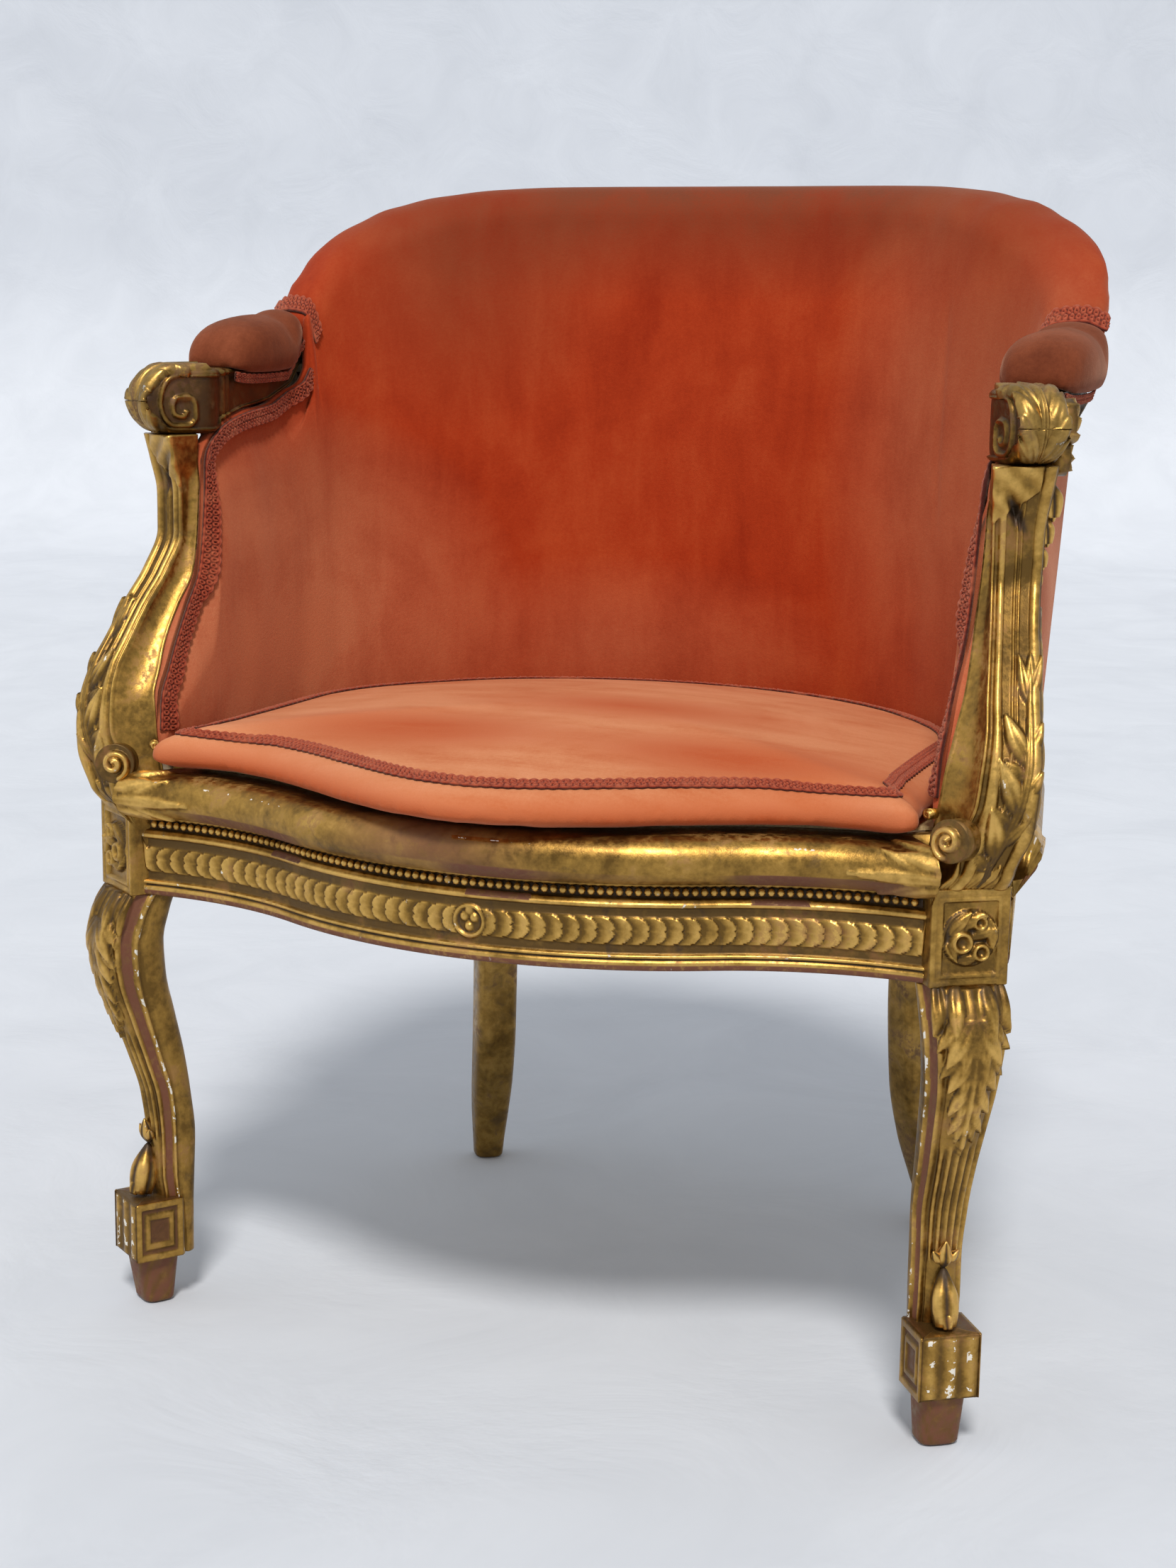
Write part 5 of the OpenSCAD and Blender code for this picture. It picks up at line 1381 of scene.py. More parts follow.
@dataclass
class ArmRail:
    """Carved arm that falls from the wing, runs level under its pad and ends in a scroll."""

    side: Side
    scroll: tuple[float, float, float] = (-41.0, 51.0, 628.5)
    radius: float = 22.5
    half: float = 17.5
    post_top: float = 606.0
    sunk: float = 2.4
    arm_end: float = 45.6

    def under(self, s: Array) -> Array:
        """Height of the arm's underside at s."""
        shares = np.interp(s, [-85, -26, 15, 52, 69, 76], [0, .326, .435, .696, 1, 1])
        return self.post_top + self.arm_end * shares

    def over(self, s: Array) -> Array:
        """Height of the arm's top at s, under its pad."""
        top = float(PLAN.crest(PLAN.wing_s)) - 12.0
        return np.interp(s, [-85, -60, -40, 39, 63, 76], [645, 649, 650, 652, top - 4, top])

    def section(self, half: Array, low: Array, high: Array, p: Array) -> tuple[Array, Array, Array]:
        """Rounded section with sunk sides, rounder towards the front of the scroll.

        Args:
            half: half width of each ring.
            low: height of its underside.
            high: height of its top.
            p: distance in front of the scroll's middle.

        Returns:
            Distance across, height, and depth sunk, from the middle of the top round.
        """
        fine = np.linspace(0, 2 * np.pi, 4001)
        walk = arc_of(powered(np.stack([np.sin(fine), np.cos(fine)], -1), 0.3))
        a = np.interp(np.linspace(0, walk[-1], 200, endpoint=False), walk, fine)[None]
        power = mix(0.30, 0.66, ease((p - 6.0) / 13.0))[:, None]
        x, y = powered(np.sin(a), power), powered(np.cos(a), power)
        side = (np.abs(x) > 0.955) & (np.abs(y) < 0.97)
        tall = np.maximum(high - low, 1.0)[:, None]
        rim = np.minimum(0.35, 4.5 / tall)
        dip = self.sunk * ease((1.0 - np.abs(y) - rim) / np.maximum(2.5 / tall, 0.04)) * side
        across = np.sign(x) * (half[:, None] * np.abs(x) - dip)
        return across, (high + low)[:, None] / 2 + y * tall / 2, dip

    def path(self) -> tuple[Array, Array, Array, Array, Array, Array]:
        """Rings' places from the wing to the front of the scroll.

        Returns:
            Plan points, directions across, half widths, undersides, tops, and distance ahead of the scroll.
        """
        s = np.arange(PLAN.wing_s, -60.0, -2.0)
        lean = PLAN.lean(s, (self.under(s) + self.over(s)) / 2)
        rail = PLAN.along(s, np.interp(s, [-60, 50, 76], [-18, -18, -21.5]) + lean)
        n, w, z = self.scroll
        ahead = PLAN.block_out[:2]
        p = np.concatenate([np.arange(-22.0, 0, 1.5), self.radius * np.sin(np.linspace(0, 1.566, 36))])
        tail = PLAN.at_block(n, w, 0.0)[:2] + p[:, None] * ahead
        gap = np.linspace(0, 1, 8)[1:-1]
        bend = mix(rail[-1], tail[0], gap[:, None]) + np.outer(np.sin(np.pi * gap), [0.9, 0.0])
        plan = np.concatenate([rail, bend, tail])
        way = unit(np.gradient(plan, axis=0))
        way[-len(p):] = ahead
        for _ in range(4):
            way[1:-1] = unit(0.5 * way[1:-1] + 0.25 * (way[:-2] + way[2:]))
        across = np.stack([-way[:, 1], way[:, 0]], -1)
        walk = arc_of(plan)
        dip = np.sqrt(np.clip(self.radius ** 2 - np.maximum(p, 0) ** 2, 0.05, None))
        low, high = (np.concatenate([line, mix(line[-1], flat, gap), np.where(p < 0, flat, curve)])
                     for line, flat, curve in ((self.under(s), self.post_top, z - dip),
                                               (self.over(s), 651.0, z + dip)))
        half = np.concatenate([np.interp(s, [-60, 50, 76], [17, 17, 11.5]), np.full(6, 17.2),
                               np.full(len(p), self.half)])
        return plan, across, half, low, high, walk - walk[-1] + self.radius

    def shell(self) -> Shell:
        """The arm with its carved scroll."""
        plan, across, half, low, high, beyond = self.path()
        x, z, dip = self.section(half, low, high, beyond)
        rings = np.concatenate([plan[:, None] + x[..., None] * across[:, None], z[..., None]], -1)
        p = beyond[:, None] + 0 * x
        rise = z - self.scroll[2]
        upper = rise > 0
        arc = np.where(p < 0, p, self.radius * np.arcsin(np.clip(p / self.radius, 0, 1)))
        arc = np.where(upper | (p < 0), arc, np.pi * self.radius - arc)
        leaf = [Petal(0, 0, 0, 88, 6.0, 4.4)]
        for level, reach in ((0, 40), (16, 40), (34, 38), (54, 30)):
            for way in (-1, 1):
                leaf += [Petal(way * 2, level, way * 22, reach, 12, 4.0),
                         Petal(way * 4, level, way * 44, reach * 0.62, 9, 3.4)]
        on_front = (dip < 0.2) & (p > -34) & (upper | (p > 2))
        front = petals(np.clip(x, -self.half, self.half), 60.0 - arc, leaf) * on_front
        knots = np.array([(-34, 18), (-12, 18.6), (2, 17), (10, 10), (12.5, -1), (9.5, -11), (2, -16.6),
                          (-8, -16.6), (-14, -10), (-13.5, -2), (-8, 3.4), (-.5, 2.8), (3.6, -3), (2, -9),
                          (-4, -10.6), (-7, -7)], float)
        curl = even_curve(np.arange(16.0), knots, np.linspace(0, 15, 60))
        spiral = np.where((dip > 0.3) & (p > -34), stroke(p, rise, curl, 1.8), 0.0)
        collar = (bell(p + 40, 2.6) + 0.8 * bell(p + 47, 1.6)) * (np.abs(z - 628) < 30)
        height = front + 2.6 * spiral + 1.6 * collar
        relief = np.clip(0.40 + 0.13 * front + 0.34 * spiral + 0.2 * collar - 0.08 * dip, 0.05, 1)
        wear_and_shade = np.where((dip > 1.2) & (spiral < 0.1), 0.42, 0.0)
        away = unit(p[..., None] * PLAN.block_out + rise[..., None] * [0.0, 0.0, 1.0])
        nose = ((p > 0) & on_front)[..., None]
        made = np.where(nose, rings + height[..., None] * away, carve(rings, height))
        return loft(made, relief, wear_and_shade=wear_and_shade)

    def build(self, gilt: Material) -> None:
        """Makes the arm."""
        side_piece(self.side, "arm_carved", [self.shell()], gilt, "arm")


@dataclass
class HuskDrop:
    """Leaf, rosette, open flower and falling husks on the outer side of the support."""

    side: Side
    # Each flower or husk from the top: height, n and s in the block's frame, and radius.
    rows: tuple = ((632, -46, 78, 14), (610, -50, 78, 12), (587, -52, 68, 11), (568, -50, 64.5, 8.5),
                   (552, -46, 60.5, 7), (539, -44, 58, 5.5))

    def build(self, gilt: Material) -> None:
        """Makes the drop."""
        leaf = acanthus(34, 27, 3, 3.4, 0, -17) + [Petal(0, -17, 0, 34, 9, 4.2)]
        ring = [Petal(0, 0, 45 * k, 11, 9, 3.2) for k in range(8)]
        (z, n, s, r), (low, m, w, q) = self.rows[:2]
        shells = [medallion(PLAN.at_block(n, s - 1, z), PLAN.block_side, [0.05, 0.02, 1.0], r, 9.0,
                            lambda x, y: 1.2 + petals(x, y, leaf) + 2.0 * dome(np.hypot(x, y), 13)),
                  medallion(PLAN.at_block(m, w - 1, low), PLAN.block_side, [0, 0, 1.0], q - 0.5, 9.0,
                            lambda x, y: 1.0 + petals(x, y, ring) + 3.6 * dome(np.hypot(x, y), 4.0))]
        for z, n, s, r in self.rows[2:]:
            top, foot = PLAN.at_block(n, s + 2, z + r * 0.8), PLAN.at_block(n + 1, s + 4, z - r * 1.25)
            shells.append(bud(top, foot, r, 5, 0.8, 0.55))
            top, foot = PLAN.at_block(n, s + 3, z), PLAN.at_block(n + 1, s + 5, z - r * 1.5)
            shells.append(bud(top, foot, r * 0.5, 3, 0.8))
        stem = np.array([[row[1], row[2] - 1.0, row[0]] for row in self.rows], float)
        a = around(12)[None]
        line = even_curve(-stem[:, 2], stem, np.linspace(-632, -539, 40))
        points = PLAN.at_block(line[:, :1] + 3.5 * np.cos(a), line[:, 1:2] + 2.5 * np.sin(a), line[:, 2:3])
        shells.append(loft(points, np.full(points.shape[:2], 0.2)))
        side_piece(self.side, "husk_drop_carved", shells, gilt, "husk_drop")


def woven_strip(outer: Array, inner: Array, normal: Array, thick: float = 1.4, step: float = 0.8,
                closed: bool = False, both: bool = False) -> Shell:
    """Braid between two edge lines: two rows of small round loops, between jagged edges.

    A loop is a ring round points 0.62 pitch apart, raised as exp(-((r - 0.66) / 0.24)^2), and the rows
    lie half a loop apart.

    Args:
        outer: points of one edge.
        inner: points of the other edge.
        normal: direction that the braid faces at each point.
        thick: thickness under the cords.
        step: distance between rows.
        closed: whether the braid closes on itself.
        both: whether both edges carry long loops, instead of the inner one alone.

    Returns:
        The shell.
    """
    rows = resampled(np.stack([outer, (outer + inner) / 2, inner, normal * 1.0], 1), step, closed)
    a, c, n = rows[:, 0], rows[:, 2], unit(rows[:, 3])
    u, v, pitch = arc_of(rows[:, 1])[:, None], np.linspace(-1, 1, STRIP_POINTS)[None], 6.6
    loops = np.abs(np.sin(np.pi * u / pitch))
    across = 0.5 + 0.42 * v * (1.0 + np.where(v > 0, 0.20, 0.20 if both else 0.06) * loops * np.abs(v))
    high = 0.8 * dome(np.abs(v) - 0.86, 0.13) * (0.45 + 0.55 * loops)
    for row, shift in ((-0.38, 0.0), (0.38, 0.5)):
        place = u / (0.62 * pitch) - shift
        r = np.hypot((place - np.round(place)) / 0.46, (v - row) / 0.40)
        high = np.maximum(high, bell(r - 0.66, 0.24) * (0.86 + 0.14 * np.sin(u * 1.9 + 4 * v)))
    face = mix(a[:, None], c[:, None], across[..., None]) + n[:, None] * (thick + 2.0 * high)[..., None]
    low = np.stack([mix(a, c, 0.92), mix(a, c, 0.08)], 1)
    return loft(np.concatenate([face, low], 1), np.hstack([high, np.zeros((len(high), 2))]), closed)


@dataclass
class BackUpholstery:
    """Padded inside of the back, the velvet outside it, and their braids."""

    gimp_w: float = 13.0
    pad_z: float = 387.8
    fine: float = 4.0
    round_count: int = 132
    arm: ArmRail = field(default_factory=lambda: ArmRail(Side.RIGHT))
    post: ArmSupport = field(default_factory=lambda: ArmSupport(Side.RIGHT))

    def __post_init__(self) -> None:
        """Sets out the stations along the back and the line of the braid."""
        corner, half = PLAN.corner_len, PLAN.half_len
        self.rear = np.append(np.linspace(84.0, corner, 13), np.linspace(corner, half, 8)[1:])
        under = np.array([-60, -26, 0, 15, 28, 40, 56, 68.0])
        table = np.array(self.post.table, float)[3:-1]
        edge = PLAN.at_block(table[:, 1], table[:, 2], 0.0)[:, 1]
        self.edge_s = np.concatenate([edge, under])
        self.edge_z = np.concatenate([PLAN.block_top + table[:, 0], self.arm.under(under) - 1.0])
        self.stations = np.concatenate([self.edge_s, [73.4, 76.1, 76.7], self.rear])

    @staticmethod
    def swell(s: Array, low: float, deep: float) -> Array:
        """Offset of the padding's face, deeper towards the middle of the back."""
        return mix(low, deep, ease(np.asarray(s) / 190.0))

    @staticmethod
    def web(s: Array) -> Array:
        """Offset of the padding's back, on the webbing."""
        return np.interp(s, [60, 190], [-24.0, -34.3]) - 1.4

    @staticmethod
    def rim(s: Array) -> Array:
        """Offset of the padding's rim under the braid."""
        return np.interp(s, [40, 56], [-33.0, -40.0])

    def slab(self, s: Array) -> Array:
        """Section of the padding beside the support and under the arm."""
        t, b = np.interp(s, self.edge_s, self.edge_z), self.pad_z
        k = np.minimum(self.web(s), np.interp(s, [40, 56], [-20.0, -35.8]))
        i, share = self.rim(s), np.minimum(1.0, (t - b) / 110.0)
        f, low = mix(i - 2, self.swell(s, -46, -61), share), mix(i - 1, self.swell(s, -43, -56), share)
        r = t - np.minimum(0.4 * (t - b), self.gimp_w + 3)
        rows = [(k, b), (k, np.maximum(t - 5, mix(b, t, .4))), (k, t - .6), (mix(k, i, .2), t - .3),
                (mix(k, i, .4), t - .15), (mix(k, i, .6), t - .1), (mix(k, i, .8), t - .05), (i, t), (i, r),
                (mix(i, f, .6), mix(b, r, .85)), (f, mix(b, r, .6)), (mix(f, low, .4), mix(b, r, .3)),
                (low, mix(b, r, .1)), (low + 1, b)]
        return np.stack([joined(*row) for row in rows], 1)

    def wing(self, s: Array) -> Array:
        """Section of the padding where it passes inside the arm."""
        t, b = PLAN.crest(PLAN.wing_s + 0 * s) + 2, self.pad_z
        c = t - 13.3
        x, f = np.minimum(self.web(s), -35.8), self.swell(s, -46, -61)
        rows = [(x, b), (x, c - 31), (x, c - 29.7), (x, c), (x, c + .3), (x, c + 1), (x, c + 3),
                (x - 1, t - 2), (x - 2, t - 1), (x - 4, t), (x - 7, t - 16),
                (mix(x - 7, f, .6), mix(b, t, .72)),
                (f, mix(b, t, .4)), (self.swell(s, -43, -56), b)]
        return np.stack([joined(*row) for row in rows], 1)

    def roll(self, s: Array) -> Array:
        """Section of the padding that rolls over the crest rail."""
        t, b = PLAN.crest(s), self.pad_z
        c, h = t - 11.3, t - 11.5 - 26 * ease((s - 76.7) / 36.0)
        k, f = self.web(s), self.swell(s, -46, -61)
        rows = [(k, b), (k, t - 45.5), (-33.7, c - 29.7), (-33.7, c), (-9.3, c), (-9.3, h), (-1.5, h),
                (0.0, mix(h, t, .6)), (-4.0, t - 3.5), (-15.0, t), (-33.0, t - 2), (f + 9, t - 22),
                (f, mix(b, t, .42)), (self.swell(s, -43, -56), b)]
        return np.stack([joined(*row) for row in rows], 1)

    def control(self) -> Array:
        """Control points of the whole padding, from one support round to the other."""
        s = self.stations
        kind = s[:, None, None]
        made = np.where(kind < 70, self.slab(s), np.where(kind < 76.5, self.wing(s), self.roll(s)))
        return both_sides(PLAN.back(s[:, None], made[..., 0], made[..., 1]))

    def padding(self) -> Shell:
        """The padding: its control points joined by curves, with soft pulls and creases pressed in."""
        control = self.control()
        ring = np.stack([even_ring(row, self.round_count) for row in control])
        line = control[:, 11]
        knots = np.concatenate([[0.0], np.cumsum(np.linalg.norm(np.diff(line, axis=0), axis=1) + 0.5)])
        fine = np.linspace(0, knots[-1], int(knots[-1] / self.fine))
        rings = even_curve(knots, ring, fine)
        x = arc_of(rings[:, -1] * [1.0, 1.0, 0.0])[:, None]
        x = x - x[-1] / 2
        seam = abs(float(np.interp(knots[len(self.edge_s) + 1], fine, x[:, 0])))
        near = np.exp(-np.square((x - x.T) / 20.0)) * np.gradient(x[:, 0])
        soft = np.einsum("ij,jkc->ikc", near / near.sum(1, keepdims=True), rings)
        faces = np.arange(self.round_count)[None] > 0.56 * self.round_count
        share = np.clip(1.8 * bell(np.abs(x) - seam, 30.0), 0, 1) * ease((655 - rings[..., 2]) / 60) * faces
        rings = mix(rings, soft, share[..., None])
        z = rings[..., 2]
        inner = ease((z - 400) / 30) * (1 - ease((z - 770) / 20))
        pulls = 0.5 * np.sin(x / 17 + np.sin(z / 41)) * np.sin(z / 63 + x / 120)
        pulls = pulls + 0.35 * np.sin(x / 7.5 + z / 90)
        crease = bell(x + 215 - 0.05 * (z - 600), 3.0) * ease((z - 520) / 60) * (1 - ease((z - 680) / 40))
        tucks = 0.8 * np.sin(x / 5.5) * bell(z - 765, 10) + 0.6 * np.sin(x / 4.8 + 1) * bell(z - 400, 9)
        return loft(carve(rings, (pulls - 1.6 * crease + tucks) * inner))

    def gimp_line(self, s: Array, z: Array, share: float) -> Array:
        """Line along the braid, just off the face of the padding.

        Args:
            s: distance along the back of the edge line.
            z: height of the edge line.
            share: share of the braid's width by which the line lies inside the edge.

        Returns:
            One point for each place.
        """
        d = unit(np.gradient(np.stack([s, z], -1), axis=0)) * share * self.gimp_w
        s, z = s + d[:, 1], np.maximum(z - d[:, 0], self.pad_z)
        face = self.slab(np.minimum(s, 69.0))[:, 13:6:-1]
        off = np.array([np.interp(h, row[:, 1], row[:, 0]) for h, row in zip(z, face)])
        return PLAN.back(s, np.minimum(self.rim(s), off) - 1.0, z)

    def edge_braid(self) -> list[Shell]:
        """Braid up the support and back under the arm, and the short one over the wing's front end."""
        edge = np.column_stack([self.edge_s, self.edge_z])
        knots = arc_of(edge)
        s, z = even_curve(knots, edge, np.linspace(0, knots[-1], 110)).T
        outer, inner = (self.gimp_line(s, z, share) for share in (0.0, 1.0))
        face = unit(np.cross(np.gradient(outer, axis=0), inner - outer))
        face = face * np.sign(np.einsum("ij,ij->i", face, MIDDLE - outer))[:, None]
        strips = [woven_strip(outer + 1.2 * face, inner + 1.2 * face, face)]
        ends, t = [], np.linspace(0, 4, 24)
        for at, shown in ((77.5, 77.0), (86.5, 87.0)):
            p = self.roll(np.array([at]))[0, 7:12]
            d = unit(p - [-20.0, float(PLAN.crest(at)) - 26])
            line = even_curve(np.arange(5.0), p, t) + 1.6 * unit(even_curve(np.arange(5.0), d, t))
            ends.append(PLAN.back(shown, line[:, 0], line[:, 1]))
        middle = PLAN.back(82.0, -20.0, float(PLAN.crest(82.0)) - 26)
        return strips + [woven_strip(ends[0], ends[1], unit((ends[0] + ends[1]) / 2 - middle), thick=1.0)]

    def outside(self) -> list[Shell]:
        """The velvet stretched over the outside of the back, and over the crest rail to the roll's lip."""
        h = np.array([37.0, 65.0, 91.0, 132.0, 153.0])
        corners = self.post.section(h)[:, 3:5]
        rear = PLAN.at_block(corners[..., 0], corners[..., 1], h[:, None])[..., 1].max(1) + 1.2
        line_s, line_z = np.append(rear, -53.0), PLAN.block_top + np.append(h, 180.0)
        s = np.concatenate([line_s, [-52.4, -26, 0, 15, 28, 40, 56, 68, 78], self.rear])
        top = np.where(s <= -53, np.interp(s, line_s, line_z),
                       np.where(s < 76, self.arm.under(s) - 1.2, PLAN.crest(s) - 40.7))
        v = np.concatenate([np.linspace(0, 1, 24), np.linspace(1, 0, 24)])[None]
        off = np.repeat([-13.2, -15.8], 24)[None] + 1.2 * np.sin(np.pi * v) * (np.arange(48)[None] < 24)
        right = PLAN.back(s[:, None], off - 1.2, mix(PLAN.rail_top + 1.0, top[:, None], v))
        s = np.concatenate([[77.0, 81.0], self.rear[self.rear > 82.0]])[:, None]
        t = PLAN.crest(s)
        lip = t - 7.5 - 26 * ease((s - 76.7) / 36.0)
        off = np.array([-14.2, -11.6, -8.5, -8.3, -8.3, -9.2, -9.2, -9.2, -12.4, -15.0])
        rise = np.array([-46.5, -44.0, -40.5, -38.0, 0, 0, -38.0, -41.2, -44.6, -47.5])
        over = PLAN.back(s, off, np.where(rise == 0, lip, t + rise))
        return [loft(resampled(both_sides(side), step=5.0)) for side in (right, over)]

    def foot_braid(self) -> Shell:
        """Braid along the foot of the outside velvet."""
        s = np.concatenate([np.linspace(-100, 78, 30), self.rear])
        low, high = (both_sides(PLAN.back(s, -12.6, level)) for level in (386.0, 397.0))
        return woven_strip(low, high, unit((low - MIDDLE) * [1.0, 1.0, 0.0]), thick=0.8, step=0.9, both=True)

    def build(self, velvet: Material, braid: Material) -> None:
        """Makes the upholstery of the back."""
        padding = make_piece("back_padding_velvet", [self.padding()], velvet, ["back_padding"])
        make_piece("outside_back_velvet", self.outside(), velvet, ["outside_back_cover"])
        make_piece("outside_back_braid", [self.foot_braid()], braid, ["outside_back_gimp"])
        strips = self.edge_braid()
        for side in Side:
            side_piece(side, "back_braid", strips, braid, "back_gimp")


def stuffed(piece: bpy.types.Object, voxel: float, pressure: float, cap: float) -> None:
    """Lets a pad settle as cloth under pressure, keeps that in its mesh at its first size, and rounds it.

    Args:
        piece: the pad.
        voxel: size of the remeshed faces, in millimetres.
        pressure: pressure inside it.
        cap: greatest distance that a point may move, in millimetres.
    """
    bpy.context.view_layer.objects.active = piece
    remesh = piece.modifiers.new("remesh", "REMESH")
    remesh.mode, remesh.voxel_size, remesh.use_smooth_shade = "VOXEL", voxel * MM, True
    bpy.ops.object.modifier_apply(modifier=remesh.name)
    start = np.empty((len(piece.data.vertices), 3), np.float32)
    end = np.empty_like(start)
    piece.data.vertices.foreach_get("co", start.ravel())
    cloth = piece.modifiers.new("cloth", "CLOTH")
    for name, value in (("quality", 6), ("mass", 0.4), ("tension_stiffness", 18), ("bending_stiffness", 1.2),
                        ("use_pressure", True), ("uniform_pressure_force", pressure)):
        setattr(cloth.settings, name, value)
    cloth.settings.effector_weights.gravity = 0.0
    cloth.collision_settings.use_self_collision = False
    for frame in range(1, SETTLE_FRAMES + 1):
        bpy.context.scene.frame_set(frame)
    held = piece.evaluated_get(bpy.context.evaluated_depsgraph_get()).data
    held.vertices.foreach_get("co", end.ravel())
    length = np.linalg.norm(end - start, axis=1, keepdims=True)
    made = start + (end - start) * np.minimum(1.0, cap * MM / np.maximum(length, 1e-9))
    piece.modifiers.remove(cloth)
    bpy.context.scene.frame_set(1)
    low, high = made.min(0), made.max(0)
    made = start.min(0) + (made - low) * (start.max(0) - start.min(0)) / (high - low)
    piece.data.vertices.foreach_set("co", made.astype(np.float32).ravel())
    piece.data.update()
    rounder = piece.modifiers.new("rounder", "SUBSURF")
    rounder.levels = rounder.render_levels = 1
    bpy.ops.object.modifier_apply(modifier=rounder.name)
    LOG.info("%s swelled by up to %.1f mm", piece.name, float(length.max()) / MM)


@dataclass
class ArmPad:
    """Stuffed velvet saddle over the arm, with a braid round its foot."""

    side: Side
    middle: float = 15.0
    length: float = 112.0
    half: float = 30.0
    rise: float = 34.0
    rail_half: float = 17.3
    off: float = -18.0
    arm: ArmRail = field(default_factory=lambda: ArmRail(Side.RIGHT))

    def pad(self) -> Shell:
        """The pad: a crowned section carried along the arm, rounded off at both ends."""
        u = -np.cos(np.linspace(0.0, np.pi, 34))
        s = self.middle + u * self.length / 2
        g = np.sqrt(np.clip(1 - np.abs(u) ** 2.6, 0.0, 1.0))[:, None]
        top = self.arm.over(s)[:, None] + 0.9
        low = top - 1 - 3 * g
        w = np.maximum(self.half * (0.45 + 0.55 * g), self.rail_half + 2)
        t = top + 2.5 + (self.rise - 2.5) * g
        r = self.rail_half
        right = [(r, top), (r, low), (mix(r, w, .6), low - g), (w, mix(low, t, .3)),
                 (w * .94, mix(low, t, .62)), (w * .62, mix(low, t, .9)), (0.0, t)]
        section = np.concatenate([joined(x, z) for x, z in right + [(-x, z) for x, z in right[-2::-1]]], 1)
        ring = PLAN.back(s[:, None], self.off + section[..., 0], section[..., 1])
        return loft(np.stack([even_ring(row, 72) for row in ring]))

    def braid(self) -> list[Shell]:
        """Braid along both edges of the pad's foot."""
        u = np.sin(np.linspace(-1.45, 1.45, 40))
        s = self.middle + u * self.length / 2
        g = np.sqrt(np.clip(1 - np.abs(u) ** 2.6, 0.0, 1.0))
        top = self.arm.over(s) + 0.3
        strips = []
        for way in (-1, 1):
            high = PLAN.back(s, self.off + way * (self.rail_half + 1.4 + 2.2 * g), top - 1 - 4 * g)
            low = PLAN.back(s, self.off + way * (self.rail_half + 0.6 + 0.6 * g), top - 8.5 - 4 * g)
            out = PLAN.back(s, self.off + way * 40.0, top) - PLAN.back(s, self.off, top)
            strips.append(woven_strip(low, high, unit(out), thick=0.6))
        return strips

    def build(self, velvet: Material, braid: Material) -> None:
        """Makes the pad and its braid."""
        piece = side_piece(self.side, "arm_pad_velvet", [self.pad()], velvet, "arm_pad")
        stuffed(piece, voxel=3.5, pressure=3.0, cap=3.0)
        side_piece(self.side, "arm_pad_braid", self.braid(), braid, "arm_pad_gimp")


